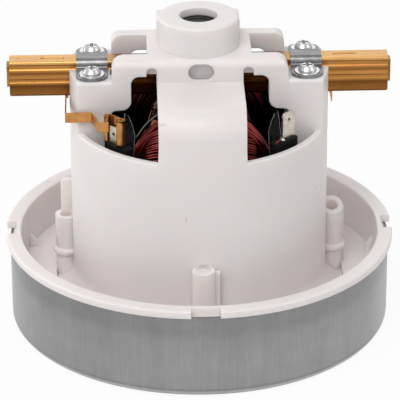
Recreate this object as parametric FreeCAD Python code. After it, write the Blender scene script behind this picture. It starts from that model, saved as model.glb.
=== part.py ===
import FreeCAD
import Part
import math
import os

# Through-flow vacuum motor: a moulded housing on a pressed fan shell, with a wound two-pole
# field, an armature with its commutator, two brush tubes and a suction impeller.
# Millimetres. The origin is the centre of the fan shell's underside, +Z runs up the shaft,
# X runs along the two brush tubes and -Y faces the front.

Vector = FreeCAD.Vector
ORIGIN = Vector(0, 0, 0)
X_AXIS = Vector(1, 0, 0)
Y_AXIS = Vector(0, 1, 0)
Z_AXIS = Vector(0, 0, 1)

# Fits
seat_gap = 0.1
shaft_gap = 0.02
thread_gap = 0.05
body_gap = 0.3

# Flange, rim and drum of the housing
basin_depth = 18.6
lip_thickness = 2.95
lip_overhang = 1.5
rim_wall = 3.0
basin_floor = 16.6
floor_thickness = 2.2
side_floor_rise = 2.0
side_floor_offset = 6.1
drum_radius = 47.3
drum_wall = 2.6
drum_over_stack = 8.0
drum_foot_radius = 7.0
notch_width = 10.5
notch_depth = 3.8
gusset_angles = (8.6, 163.5)
gusset_rise = 8.4
gusset_reach = 2.9
gusset_width = 1.6

# Pillars and the bridge up to the nose
pillar_top_half_width = 15.6
pillar_taper = 0.6
pillar_wall = 3.4
bridge_over_tube_middle = 3.4
bridge_thickness = 4.2
shoulder_radius = 9.0
shoulder_drop = 1.0
gusset_web = 2.4
gusset_height = 11.0
web_reach = 15.0
web_lip = 2.2
web_corner_reach = 5.5
web_corner_drop = 4.5
web_corner_radius = 6.0

# Crosshead block, arms and brush seats
block_overhang = 3.3
arm_end_inset = 15.5
arm_inner_y = 9.3
arm_outer_y = 16.5
arm_over_tube_middle = 5.6
arm_thickness = 6.0
arm_edge_radius = 3.0
window_edge_inset = 22.4
window_over_stack = 17.2
window_foot_inset = 15.0
seat_over_tube_middle = 3.7
side_pocket_inset = 10.3
side_pocket_y = 6.5
arch_pocket_height = 3.2

# Nose and upper bearing seat
nose_radius = 14.6
nose_over_arms = 11.1
nose_web = 2.8
nose_hole_radius = 6.95
back_block_inset = 0.5
back_block_drop = 4.1
cavity_radius = 12.3
slot_under_arms = 1.7
slot_height = 6.0
slot_left = -4.3
slot_right = 5.0
slot_wall = 1.2
slot_depth = 3.2

# Screw bosses on the drum
boss_pitch_offset = 2.2
boss_radius = 4.1
boss_height = 24.0
boss_slant = 3.7
boss_hole_depth = 17.0
boss_rib_reach = 5.9
boss_rib_drop = 1.0
collar_radius = 5.3
collar_rise = 8.4
collar_height = 2.8
fin_thickness = 1.6
fin_offset = 2.2
tall_fin_reach = 4.1
tall_fin_height = 37.1
low_fin_reach = 7.1
low_fin_height = 28.4
low_fin_slope = 4.4

# Fan shell
shell_radius = 70.5
shell_sheet = 0.9
shell_corner = 3.4
eye_radius = 20.6
eye_lip_height = 4.0

# Impeller
impeller_step = 1.5
impeller_sheet = 0.8
blade_count = 9
blade_thickness = 0.9
blade_sweep = 52.0
blade_bulge = 7.5
back_disc_bottom = 7.9
shroud_eye_radius = 22.2
shroud_eye_z = 1.5
shroud_rim_z = 3.0
hub_radius = 9.0
hub_height = 3.0
washer_radius = 7.5
washer_height = 1.0
nut_across_flats = 13.0
nut_height = 3.0

# Diffuser, bearing bracket and their screws
diffuser_gap = 6.6
diffuser_bottom = 9.4
diffuser_sheet = 1.0
vane_count = 16
vane_thickness = 1.0
vane_sweep = 34.0
vane_bulge = 5.0
vane_inner_radius = 24.0
vane_end_gap = 2.0
bracket_radius = 57.0
bracket_sheet = 1.4
bracket_window_inset = 2.7
bracket_hub_radius = 14.0
bracket_hub_rise = 5.7
spoke_width = 8.0
screw_radius = 1.75
screw_head_radius = 3.4
screw_head_height = 1.6
screw_grip = 13.0

# Ball bearings, both of one size
bearing_outer_radius = 11.0
bearing_width = 7.0
bearing_bore_radius = 4.0
inner_ring_radius = 6.05
outer_ring_inner_radius = 9.0
ball_pitch_radius = 7.5
ball_radius = 1.9
groove_radius = 2.05
ball_count = 7
seal_thickness = 0.5
boot_wall = 1.2
boot_web = 0.8
bearing_recess = 0.4

# Shaft and armature
shaft_radius = 5.0
shaft_bottom = 0.6
shaft_end_gap = 0.5
stack_clearance = 3.7
stack_height = 34.0
armature_inset = 20.3
air_gap = 0.6
slot_count = 12
slot_radius = 2.6
slot_pitch_inset = 4.0
slot_mouth = 1.6
end_turn_height = 12.0
commutator_radius = 10.8
commutator_bars = 24
bar_depth = 2.8
bar_gap = 0.5
riser_radius = 12.4
riser_height = 2.1
commutator_over_stack = 15.0
hub_overhang = 0.8

# Field
stack_flat_inset = 3.4
yoke_width = 3.7
slot_window_x_inset = 6.7
slot_window_y_inset = 9.2
pole_half_width = 14.0
pole_shoe_thickness = 3.0
pole_half_angle = 52.0
frame_sheet = 2.0
frame_overhang = 0.5
coil_side_gap = 5.8
coil_overhang = 20.1
coil_front_inset = 13.1
coil_depth = 7.0
coil_hole_gap = 0.3
coil_hole_corner = 0.8
face_start_offset = 3.3
face_start_overhang = 9.2
wire_diameter = 0.8
face_quarter_count = 27
edge_quarter_count = 9
rim_quarter_count = 16
rim_pitch = 1.3
coil_edge_radius = 2.0
field_screw_inset = 3.5
field_screw_radius = 2.0
field_screw_grip = 11.0

# Terminals
terminal_inset = 3.8
terminal_place = 39.8
terminal_angle = 45.0
post_length = 11.6
post_thickness = 3.8
post_offset = 2.2
bare_post_height = 9.5
fitted_post_height = 8.2
tab_width = 6.3
tab_thickness = 0.8
tab_height = 10.1
tab_hole_radius = 0.7
tab_root = 4.0

# Brush gear
tube_width = 7.5
tube_height = 13.45
tube_wall = 0.55
tube_over_commutator = 9.4
tube_inner_x = 12.0
tube_reach = 21.6
tube_foot_radius = 1.1
tube_groove_depth = 0.45
tube_channel_gap = 0.15
tube_slot_length = 8.6
tube_slot_width = 2.0
tube_slot_end = 11.4
tube_slot_depth = 0.25
tube_dimple_radius = 0.35
tube_dimple_end = 3.2
cap_thickness = 1.0
cap_lug_half_width = 2.3
cap_lug_top = 1.6
cap_lug_height = 8.7
brush_gap = 0.1
brush_length = 32.0
spring_radius = 2.35
spring_wire = 0.6
spring_turn_count = 8
strap_inset = 8.4
strap_width = 11.4
strap_sheet = 1.0
strap_bend_radius = 2.6
strap_end_y = 15.8
strap_screw_y = 10.9
strap_screw_radius = 1.5
strap_screw_grip = 11.0
strap_head_radius = 3.3
strap_head_top_radius = 2.2
strap_head_height = 2.5
strap_flange_radius = 4.65
strap_flange_height = 0.5
lead_sheet = 0.4
lead_width = 3.8
lead_under_tube = 0.575
lead_foot_drop = 0.8
lead_foot_length = 0.95
lead_reach = 1.35
lead_front_y = 18.0
lead_step_inset = 8.0
lead_end_inset = 10.6
lead_slope = 0.8
terminal_height = 10.1
roll_outer_radius = 1.35
roll_inner_radius = 0.85

# Radii and places that follow from the sizes above
lip_radius = shell_radius + lip_overhang
shell_inner_radius = shell_radius - shell_sheet
rim_outer_radius = shell_inner_radius - seat_gap
lip_inner_radius = rim_outer_radius - rim_wall
diffuser_radius = shell_inner_radius - diffuser_gap
vane_outer_radius = diffuser_radius - vane_end_gap
impeller_radius = diffuser_radius - impeller_step
drum_inner_radius = drum_radius - drum_wall
side_floor_x = drum_radius + side_floor_offset
boss_pitch_radius = drum_radius + boss_pitch_offset
bracket_window_radius = drum_inner_radius - bracket_window_inset
pillar_half_width = pillar_top_half_width + pillar_taper
block_half_length = pillar_top_half_width + block_overhang
back_block_half_width = pillar_top_half_width - back_block_inset
arm_half_length = drum_radius - arm_end_inset
window_edge_x = drum_radius - window_edge_inset
window_foot_x = drum_radius - window_foot_inset
side_pocket_x = drum_radius - side_pocket_inset
stack_radius = drum_inner_radius - body_gap
stack_flat_x = stack_radius - stack_flat_inset
yoke_inner_radius = stack_radius - yoke_width
slot_window_x = yoke_inner_radius - slot_window_x_inset
slot_window_y = yoke_inner_radius - slot_window_y_inset
armature_radius = yoke_inner_radius - armature_inset
slot_pitch_radius = armature_radius - slot_pitch_inset
bore_radius = armature_radius + air_gap
coil_half_width = slot_window_x - coil_side_gap
coil_half_height = stack_height / 2 + coil_overhang
coil_front_y = yoke_inner_radius - coil_front_inset
coil_back_y = coil_front_y - coil_depth
coil_inner_half_width = pole_half_width + coil_hole_gap
face_start_half_width = coil_inner_half_width + face_start_offset
face_start_half_height = stack_height / 2 + face_start_overhang
field_screw_x = stack_flat_x - field_screw_inset
tab_x = (stack_radius - terminal_inset) * math.cos(math.radians(terminal_place))
tab_y = (stack_radius - terminal_inset) * math.sin(math.radians(terminal_place))
tube_outer_x = drum_radius + tube_reach
strap_centre_x = drum_radius - strap_inset
lead_drop_x = drum_radius + lead_reach
lead_step_x = drum_radius - lead_step_inset
lead_end_x = drum_radius - lead_end_inset
boot_radius = bearing_outer_radius + boot_wall
spacer_radius = inner_ring_radius
wire_radius = wire_diameter / 2
brush_start_x = commutator_radius + brush_gap
brush_end_x = brush_start_x + brush_length

# Heights that follow, from the basin floor up to the nose
lip_top = basin_floor + basin_depth
lip_bottom = lip_top - lip_thickness
floor_bottom = basin_floor - floor_thickness
gusset_top = basin_floor + gusset_rise
boss_top = basin_floor + boss_height
collar_low = basin_floor + collar_rise
collar_high = collar_low + collar_height
tall_fin_top = basin_floor + tall_fin_height
low_fin_top = basin_floor + low_fin_height
bracket_hub_top = basin_floor + bracket_hub_rise
lower_bearing_bottom = bracket_hub_top - bearing_width - bearing_recess
stack_bottom = bracket_hub_top + end_turn_height + stack_clearance
stack_top = stack_bottom + stack_height
stack_middle = stack_bottom + stack_height / 2
drum_top = stack_top + drum_over_stack
frame_top = stack_top + frame_sheet
block_bottom = frame_top + body_gap
window_sill = stack_top + window_over_stack
commutator_bottom = stack_top + commutator_over_stack
tube_centre_z = commutator_bottom + tube_over_commutator
tube_low = tube_centre_z - tube_height / 2
tube_high = tube_centre_z + tube_height / 2
commutator_top = tube_high + 0.2
seat_top = tube_centre_z + seat_over_tube_middle
strap_top = tube_high + strap_sheet
bridge_top = tube_centre_z + bridge_over_tube_middle
arm_bottom = tube_centre_z + arm_over_tube_middle
arm_top = arm_bottom + arm_thickness
slot_low = arm_bottom - slot_under_arms
slot_high = slot_low + slot_height
nose_top = arm_top + nose_over_arms
back_block_top = nose_top - back_block_drop
boot_top = nose_top - nose_web
upper_bearing_bottom = boot_top - boot_web - bearing_width
shaft_top = upper_bearing_bottom + bearing_width - shaft_end_gap
bare_post_top = stack_top + bare_post_height
fitted_post_top = stack_top + fitted_post_height
tab_top = bare_post_top + tab_height
terminal_low = fitted_post_top + 0.2
terminal_high = terminal_low + terminal_height
lead_high = tube_low - lead_under_tube
lead_low = lead_high - lead_width

# Heights that follow, from the basin floor down to the shell
bracket_top = floor_bottom - seat_gap
bracket_bottom = bracket_top - bracket_sheet
vane_top = bracket_bottom - seat_gap
diffuser_top = diffuser_bottom + diffuser_sheet
back_disc_top = back_disc_bottom + impeller_sheet
hub_bottom = back_disc_bottom - hub_height
washer_bottom = hub_bottom - washer_height
nut_bottom = washer_bottom - nut_height


# Outlines and solids

def in_xy(u, v):
    return Vector(u, v, 0)


def in_xz(u, v):
    return Vector(u, 0, v)


def in_yz(u, v):
    return Vector(0, u, v)


def rounded_corner(corner, before, after, radius):
    """Start, middle and end of the arc that rounds a corner."""
    to_before = (before - corner).normalize()
    to_after = (after - corner).normalize()
    half = to_before.getAngle(to_after) / 2
    reach = radius / math.tan(half)
    inward = (to_before + to_after).normalize()
    centre = corner + inward * (radius / math.sin(half))
    return corner + to_before * reach, centre - inward * radius, corner + to_after * reach


def outline(corners, plane):
    """Closed face from (u, v, corner radius) corners, in the plane that in_xy and its like give."""
    points = [Vector(u, v, 0) for u, v, radius in corners]
    arcs = []
    for i, (u, v, radius) in enumerate(corners):
        after = points[(i + 1) % len(points)]
        if radius:
            arcs.append(rounded_corner(points[i], points[i - 1], after, radius))
        else:
            arcs.append((points[i], None, points[i]))
    edges = []
    for i, (start, middle, end) in enumerate(arcs):
        if middle is not None:
            edges.append(Part.Arc(plane(start.x, start.y), plane(middle.x, middle.y),
                                  plane(end.x, end.y)).toShape())
        following = arcs[(i + 1) % len(arcs)][0]
        if end.distanceToPoint(following) > 1e-6:
            edges.append(Part.LineSegment(plane(end.x, end.y),
                                          plane(following.x, following.y)).toShape())
    return Part.Face(Part.Wire(edges))


def sharp(points):
    return [(u, v, 0) for u, v in points]


def spun(corners):
    return outline(corners, in_xz).revolve(ORIGIN, Z_AXIS, 360)


def along_x(corners, low, high):
    return outline(corners, in_yz).translated(Vector(low, 0, 0)).extrude(Vector(high - low, 0, 0))


def along_y(corners, low, high):
    return outline(corners, in_xz).translated(Vector(0, low, 0)).extrude(Vector(0, high - low, 0))


def along_z(corners, low, high):
    return outline(corners, in_xy).translated(Vector(0, 0, low)).extrude(Vector(0, 0, high - low))


def box(x_low, x_high, y_low, y_high, z_low, z_high):
    return Part.makeBox(x_high - x_low, y_high - y_low, z_high - z_low,
                        Vector(x_low, y_low, z_low))


def middle_box(half_x, half_y, z_low, z_high):
    return box(-half_x, half_x, -half_y, half_y, z_low, z_high)


def rod(radius, z_low, z_high, x=0, y=0):
    return Part.makeCylinder(radius, z_high - z_low, Vector(x, y, z_low))


def ring(outer, inner, z_low, z_high, x=0, y=0):
    return rod(outer, z_low, z_high, x, y).cut(rod(inner, z_low - 1, z_high + 1, x, y))


def turned(shape, angle):
    copy = shape.copy()
    copy.rotate(ORIGIN, Z_AXIS, angle)
    return copy


def half_turned(shape):
    return turned(shape, 180)


def mirrored_y(shape):
    return shape.mirror(ORIGIN, Y_AXIS)


def around(shape, count, first=0.0):
    return [turned(shape, first + 360.0 * i / count) for i in range(count)]


def joined(shapes):
    whole = shapes[0].fuse(shapes[1:]) if len(shapes) > 1 else shapes[0]
    return whole.removeSplitter()


def less(shape, cuts):
    return shape.cut(Part.makeCompound(cuts)) if len(cuts) == 1 else shape.cut(cuts)


def group(shapes):
    return Part.makeCompound(shapes)


# Housing

def flange_and_drum():
    lip_edge = 0.7
    return spun([
        (lip_radius, lip_bottom, 0.5),
        (lip_radius, lip_top, lip_edge),
        (lip_inner_radius, lip_top, lip_edge),
        (lip_inner_radius, basin_floor, 1.5),
        (drum_radius, basin_floor, drum_foot_radius),
        (drum_radius, drum_top, 0.4),
        (drum_inner_radius, drum_top, 0.4),
        (drum_inner_radius, floor_bottom, 0.8),
        (rim_outer_radius, floor_bottom, 1.0),
        (rim_outer_radius, lip_bottom, 0),
    ])


def side_floors():
    """The basin floor stands higher at both sides, beyond a straight step."""
    high = ring(lip_inner_radius + 0.5, drum_radius, basin_floor - 0.5,
                basin_floor + side_floor_rise)
    middle = middle_box(side_floor_x, lip_radius, basin_floor - 1, lip_top)
    return high.cut(middle).Solids


def rim_gussets():
    inner = lip_inner_radius - gusset_reach
    rib = along_y(sharp([(inner, basin_floor), (inner + 0.6, gusset_top - 4),
                         (lip_inner_radius + 0.5, gusset_top), (lip_inner_radius + 0.5, basin_floor)]),
                  -gusset_width / 2, gusset_width / 2)
    return [turned(rib, angle) for angle in gusset_angles]


def pillars():
    """Front and back pillars, their rounded shoulders and the bridges in to the nose."""
    foot = drum_top - 8
    bell = spun([
        (drum_radius, foot, 0),
        (drum_radius, bridge_top - shoulder_drop, shoulder_radius),
        (cavity_radius, bridge_top, 0),
        (cavity_radius, bridge_top - bridge_thickness, 0),
        (drum_radius - pillar_wall, bridge_top - bridge_thickness - shoulder_drop, 6.0),
        (drum_radius - pillar_wall, foot, 0),
    ])
    taper_top = bridge_top - bridge_thickness - gusset_height
    width = along_y(sharp([(-pillar_half_width, foot - 1), (pillar_half_width, foot - 1),
                           (pillar_top_half_width, taper_top),
                           (pillar_top_half_width, bridge_top + 1),
                           (-pillar_top_half_width, bridge_top + 1),
                           (-pillar_top_half_width, taper_top)]),
                    cavity_radius - 1, drum_radius + 1)
    back = turned(bell, 90).common(width)
    return [back, half_turned(back)]


def pillar_gussets():
    """A web along each edge of each pillar fills the inside of its shoulder."""
    wall = drum_radius - pillar_wall
    under = bridge_top - bridge_thickness
    foot = under - gusset_height
    web = along_x([(wall, foot, 0), (wall, under, 0), (wall - web_reach, under, 0),
                   (wall - web_reach, under - web_lip, 0),
                   (wall - web_corner_reach, under - web_corner_drop, web_corner_radius)],
                  pillar_top_half_width - gusset_web, pillar_top_half_width)
    web = web.common(rod(drum_radius - 1, foot - 1, under + 2))
    webs = [web, web.mirror(ORIGIN, X_AXIS)]
    return webs + [mirrored_y(one) for one in webs]


def crosshead():
    """The bar across the top: a middle block and two pairs of arms, rounded along the outside."""
    bar = along_x([(-arm_outer_y, arm_bottom, 0), (-arm_outer_y, arm_top, arm_edge_radius),
                   (arm_outer_y, arm_top, arm_edge_radius), (arm_outer_y, arm_bottom, 0)],
                  -arm_half_length, arm_half_length)
    block = bar.common(middle_box(block_half_length, arm_outer_y, arm_bottom, arm_top))
    core = middle_box(pillar_top_half_width, arm_outer_y, bridge_top - bridge_thickness,
                      arm_bottom + 1)
    return [block, core]


def side_panel():
    """Front right panel: arm, window edge and seat front, as one plate seen from the front."""
    outer = along_y([
        (block_half_length - 1, arm_top, 0),
        (arm_half_length, arm_top, 4.5),
        (arm_half_length, seat_top, 1.5),
        (drum_radius + 1, seat_top, 0),
        (drum_radius + 1, block_bottom, 0),
        (window_foot_x, block_bottom, 0),
        (window_foot_x, window_sill - 0.4, 2.0),
        (window_edge_x, window_sill, 3.5),
        (window_edge_x, arm_bottom, 3.0),
        (block_half_length - 1, arm_bottom, 0),
    ], -arm_outer_y, -arm_inner_y)
    rounding = along_x([(-arm_outer_y, block_bottom - 1, 0), (-arm_outer_y, arm_top, arm_edge_radius),
                        (0, arm_top, 0), (0, block_bottom - 1, 0)], 0, drum_radius + 2)
    shoulder = along_x([(-arm_outer_y, block_bottom - 1, 0), (-arm_outer_y, seat_top, 1.4),
                        (0, seat_top, 0), (0, block_bottom - 1, 0)],
                       arm_half_length - 0.5, drum_radius + 2)
    upper = box(0, arm_half_length, -arm_outer_y, 0, block_bottom - 1, arm_top + 1)
    return outer.common(rounding).common(upper.fuse(shoulder))


def seat_middle():
    """Between the panels each seat is closed across, round the channel of its brush tube."""
    return box(window_foot_x, drum_radius + 1, -arm_inner_y - 0.5, arm_inner_y + 0.5,
               block_bottom, seat_top)


def side_blocks():
    right = side_panel()
    pieces = [right, mirrored_y(right), seat_middle()]
    within_drum = rod(drum_radius, block_bottom - 1, arm_top + 1)
    whole = joined(pieces).common(within_drum)
    pockets = []
    for y in (-1, 1):
        near, far = sorted((y * side_pocket_y, y * (arm_outer_y - drum_wall)))
        pocket = box(side_pocket_x, drum_radius, near, far, block_bottom - 1, window_sill - 3)
        pockets.append(pocket.common(rod(drum_inner_radius, block_bottom - 1, window_sill)))
    whole = less(whole, pockets)
    return [whole, half_turned(whole)]


def nose():
    tower = spun(sharp([(0, bridge_top - 1), (nose_radius, bridge_top - 1),
                        (nose_radius, nose_top - 0.6), (nose_radius - 0.6, nose_top),
                        (0, nose_top)]))
    back = along_z([(-back_block_half_width, 4, 0), (-back_block_half_width, arm_outer_y - 0.2, 1.5),
                    (back_block_half_width, arm_outer_y - 0.2, 1.5), (back_block_half_width, 4, 0)],
                   arm_bottom, back_block_top)
    return [tower, back]


def drum_bosses():
    """Four screw bosses; the two at the sides have a collar and a fin against the drum."""
    solids = []
    for angle in (90, 180, 270):
        solids.append(turned(rod(boss_radius, floor_bottom, boss_top, boss_pitch_radius), angle))
    slanted = along_x(sharp([(-boss_radius, floor_bottom), (-boss_radius, boss_top),
                             (boss_radius, boss_top + boss_slant), (boss_radius, floor_bottom)]),
                      drum_radius - 1, boss_pitch_radius + boss_radius + 1)
    solids.append(slanted.common(rod(boss_radius, floor_bottom, boss_top + boss_slant + 1,
                                     boss_pitch_radius)))
    collar = spun([(0, collar_low, 0), (collar_radius, collar_low, collar_height * 0.48),
                   (collar_radius, collar_high, collar_height * 0.48), (0, collar_high, 0)])
    collar = collar.translated(Vector(boss_pitch_radius, 0, 0))
    for angle in (0, 180):
        solids.append(turned(collar, angle))
    rib = box(0, boss_rib_reach, -boss_pitch_radius, -boss_pitch_radius + fin_thickness,
              basin_floor - 0.5, boss_top - boss_rib_drop)
    solids += [rib, half_turned(rib)]
    tall_edge = -drum_radius - tall_fin_reach
    tall = along_y([(1 - drum_radius, basin_floor, 0), (1 - drum_radius, tall_fin_top, 0),
                    (tall_edge, tall_fin_top, tall_fin_reach / 2), (tall_edge, basin_floor, 0)],
                   fin_offset, fin_offset + fin_thickness)
    low_edge = drum_radius + low_fin_reach
    low = along_y([(drum_radius - 1, basin_floor, 0), (drum_radius - 1, low_fin_top, 0),
                   (low_edge, low_fin_top - low_fin_slope, 2.0), (low_edge, basin_floor, 0)],
                  fin_offset, fin_offset + fin_thickness)
    return solids + [tall, low]


def boss_recesses():
    cuts = []
    for angle in (0, 90, 180, 270):
        screw = rod(screw_radius + thread_gap, floor_bottom - 1, floor_bottom + boss_hole_depth,
                    boss_pitch_radius)
        cuts.append(turned(screw, angle))
    for angle in (0, 180):
        cuts.append(turned(rod(2.3, boss_top - 6, boss_top + boss_slant + 1, boss_pitch_radius), angle))
    for angle in (90, 270):
        cuts.append(turned(rod(2.9, boss_top - 0.6, boss_top + 1, boss_pitch_radius), angle))
    return cuts


def lip_notches():
    notch = box(lip_radius - notch_depth, lip_radius + 1, -notch_width / 2, notch_width / 2,
                lip_bottom - 1, lip_top + 1)
    keep = rod(rim_outer_radius, 0, lip_bottom)
    return [one.cut(keep) for one in around(notch, 4)]


def nose_slot():
    """Slot in the nose's front, opening to a blind chamber that is open at its foot."""
    middle = (slot_left + slot_right) / 2
    half_width = (slot_right - slot_left) / 2
    end = (slot_high - slot_low) / 2 - 0.05
    mouth = along_y([(middle - half_width, slot_low, end), (middle + half_width, slot_low, end),
                     (middle + half_width, slot_high, end), (middle - half_width, slot_high, end)],
                    -arm_outer_y - 1, -arm_outer_y + slot_wall + 0.1)
    chamber = box(slot_left, slot_right, -arm_outer_y + slot_wall,
                  -arm_outer_y + slot_depth, bridge_top - bridge_thickness - 1, slot_high)
    return [mouth, chamber]


def window_arches():
    """Small rounded pockets over the inner corner of each window, in the front and back faces."""
    pocket = along_y([(pillar_top_half_width, arm_bottom - 1, 0),
                      (block_half_length + 0.4, arm_bottom - 1, 0),
                      (block_half_length + 0.4, arm_bottom + arch_pocket_height, 1.8),
                      (pillar_top_half_width, arm_bottom + arch_pocket_height, 1.6)],
                     -arm_outer_y - 1, -arm_outer_y + 2.6)
    quarter = [pocket, mirrored_y(pocket)]
    return quarter + [half_turned(one) for one in quarter]


def tube_channel():
    half = tube_width / 2 + tube_channel_gap
    return middle_box(drum_radius + 2, half, tube_low - seat_gap, tube_high + 0.25)


def strap_screw_places():
    return [(x * strap_centre_x, y * strap_screw_y) for x in (-1, 1) for y in (-1, 1)]


def motor_housing():
    solids = [flange_and_drum()] + pillars() + side_floors() + rim_gussets()
    solids += pillar_gussets() + crosshead() + side_blocks() + nose() + drum_bosses()
    cuts = [rod(cavity_radius, bridge_top - bridge_thickness - 2, boot_top),
            rod(nose_hole_radius, boot_top - 1, nose_top + 1),
            tube_channel()]
    cuts += nose_slot() + window_arches() + lip_notches() + boss_recesses()
    for x, y in strap_screw_places():
        cuts.append(rod(strap_screw_radius + thread_gap, seat_top - strap_screw_grip,
                        seat_top + 1, x, y))
    for x in (-field_screw_x, field_screw_x):
        cuts.append(rod(field_screw_radius + thread_gap, block_bottom - 1,
                        block_bottom + field_screw_grip, x))
    return joined(solids).cut(cuts)


# Fan shell, impeller and diffuser

def fan_shell():
    return spun([
        (eye_radius, eye_lip_height, 0),
        (eye_radius, 0, 2.4),
        (shell_radius, 0, shell_corner),
        (shell_radius, lip_bottom - seat_gap, 0),
        (shell_inner_radius, lip_bottom - seat_gap, 0),
        (shell_inner_radius, shell_sheet, shell_corner - shell_sheet),
        (eye_radius + shell_sheet, shell_sheet, 1.5),
        (eye_radius + shell_sheet, eye_lip_height, 0),
    ])


def swept_vane(inner, outer, sweep, bulge, thickness, low, high):
    """A vane on one arc from the inner to the outer radius, turned by sweep degrees on the way."""
    angle = math.radians(sweep)
    start = Vector(inner, 0, 0)
    end = Vector(outer * math.cos(angle), outer * math.sin(angle), 0)
    across = Z_AXIS.cross(end - start).normalize()
    middle = (start + end) * 0.5 - across * bulge
    centre = Part.Circle(start, middle, end).Center
    sides = []
    for offset in (-thickness / 2, thickness / 2):
        sides.append([centre + (p - centre) * (1 + offset / (p - centre).Length)
                      for p in (start, middle, end)])
    near, far = sides
    edges = [Part.Arc(*near).toShape(), Part.LineSegment(near[2], far[2]).toShape(),
             Part.Arc(*reversed(far)).toShape(), Part.LineSegment(far[0], near[0]).toShape()]
    face = Part.Face(Part.Wire(edges))
    return face.translated(Vector(0, 0, low)).extrude(Vector(0, 0, high - low))


def shroud_z(radius):
    share = (radius - shroud_eye_radius) / (impeller_radius - shroud_eye_radius)
    return shroud_eye_z + share * (shroud_rim_z - shroud_eye_z)


def impeller_back_disc():
    return ring(impeller_radius, bearing_bore_radius + shaft_gap, back_disc_bottom, back_disc_top)


def impeller_shroud():
    return spun(sharp([(shroud_eye_radius, shroud_eye_z), (impeller_radius, shroud_rim_z),
                       (impeller_radius, shroud_rim_z + impeller_sheet),
                       (shroud_eye_radius, shroud_eye_z + impeller_sheet)]))


def impeller_blade_set():
    inner = shroud_eye_radius + 2
    outer = impeller_radius - 1
    blade = swept_vane(inner, outer, -blade_sweep, -blade_bulge, blade_thickness, shroud_eye_z, back_disc_bottom)
    lift = impeller_sheet + shaft_gap
    roof = back_disc_bottom - shaft_gap
    space = spun(sharp([(inner - 2, shroud_z(inner - 2) + lift),
                        (outer + 1, shroud_z(outer + 1) + lift),
                        (outer + 1, roof), (inner - 2, roof)]))
    return group([blade_copy.common(space) for blade_copy in around(blade, blade_count)])


def impeller_hub():
    return spun([(bearing_bore_radius + shaft_gap, hub_bottom, 0), (hub_radius - 1.5, hub_bottom, 0.6),
                 (hub_radius, back_disc_bottom - shaft_gap, 0),
                 (bearing_bore_radius + shaft_gap, back_disc_bottom - shaft_gap, 0)])


def impeller_nut():
    corner = nut_across_flats / 2 / math.cos(math.radians(30))
    points = [(corner * math.cos(math.radians(60 * i)), corner * math.sin(math.radians(60 * i)), 0)
              for i in range(6)]
    nut = along_z(points, nut_bottom, washer_bottom)
    return nut.cut(rod(bearing_bore_radius + shaft_gap, nut_bottom - 1, washer_bottom + 1))


def diffuser_plate():
    """Disc with return vanes and four screw bosses between the impeller and the bracket."""
    disc = rod(diffuser_radius, diffuser_bottom, diffuser_top)
    vane = swept_vane(vane_inner_radius, vane_outer_radius, vane_sweep, vane_bulge, vane_thickness,
                      diffuser_top - 0.2, vane_top)
    boss = rod(screw_head_radius + 1.6, diffuser_bottom, vane_top, boss_pitch_radius)
    cuts = [rod(spacer_radius + 1.0, diffuser_bottom - 1, diffuser_top + 1)]
    head = rod(screw_head_radius + 0.2, diffuser_bottom - 1,
               diffuser_bottom + screw_head_height + 0.2, boss_pitch_radius)
    shank = rod(screw_radius + 0.15, diffuser_bottom - 1, vane_top + 1, boss_pitch_radius)
    cuts += around(head, 4) + around(shank, 4)
    body = joined([disc] + around(vane, vane_count, 3.0) + around(boss, 4))
    return body.cut(cuts)


def bearing_bracket():
    """Flange under the basin floor, four ribbed spokes and the hub that holds the bearing."""
    flange = ring(bracket_radius, bracket_window_radius, bracket_bottom, bracket_top)
    pocket = bearing_outer_radius + shaft_gap
    hub = spun([(spacer_radius + 1.0, bracket_bottom, 0), (bracket_hub_radius, bracket_bottom, 0.6),
                (bracket_hub_radius, bracket_hub_top, 0.8), (pocket, bracket_hub_top, 0),
                (pocket, lower_bearing_bottom, 0), (spacer_radius + 1.0, lower_bearing_bottom, 0)])
    spoke = box(bracket_hub_radius - 1, bracket_window_radius + 1, -spoke_width / 2,
                spoke_width / 2, bracket_bottom, bracket_top)
    rib = along_y(sharp([(bracket_hub_radius - 1, bracket_bottom), (bracket_hub_radius - 1, basin_floor + 3),
                         (bracket_hub_radius + 5, basin_floor),
                         (bracket_window_radius - 1, bracket_top), (bracket_window_radius - 1, bracket_bottom)]),
                  -1.2, 1.2)
    screw_hole = rod(screw_radius + 0.15, bracket_bottom - 1, bracket_top + 1, boss_pitch_radius)
    body = joined([flange, hub] + around(spoke, 4) + around(rib, 4))
    return body.cut(around(screw_hole, 4))


def bracket_screws():
    head_bottom = diffuser_bottom + 0.1
    head_top = head_bottom + screw_head_height
    screw = rod(screw_head_radius, head_bottom, head_top, boss_pitch_radius)
    shank = rod(screw_radius, head_top - 0.1, floor_bottom + screw_grip, boss_pitch_radius)
    cross = [box(boss_pitch_radius - 0.4, boss_pitch_radius + 0.4, -2, 2, head_bottom - 1, head_bottom + 0.8),
             box(boss_pitch_radius - 2, boss_pitch_radius + 2, -0.4, 0.4, head_bottom - 1, head_bottom + 0.8)]
    return group(around(joined([screw, shank]).cut(cross), 4))


# Bearings

def ball_groove(bottom):
    return Part.makeTorus(ball_pitch_radius, groove_radius, Vector(0, 0, bottom + bearing_width / 2))


def bearing_outer_ring(bottom):
    return ring(bearing_outer_radius, outer_ring_inner_radius, bottom,
                bottom + bearing_width).cut(ball_groove(bottom))


def bearing_inner_ring(bottom):
    return ring(inner_ring_radius, bearing_bore_radius + shaft_gap, bottom,
                bottom + bearing_width).cut(ball_groove(bottom))


def bearing_balls(bottom):
    ball = Part.makeSphere(ball_radius, Vector(ball_pitch_radius, 0, bottom + bearing_width / 2))
    return group(around(ball, ball_count))


def bearing_seals(bottom):
    outer = outer_ring_inner_radius - shaft_gap
    inner = inner_ring_radius + 0.2
    low = ring(outer, inner, bottom + 0.2, bottom + 0.2 + seal_thickness)
    return group([low, low.translated(Vector(0, 0, bearing_width - 0.4 - seal_thickness))])


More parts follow.
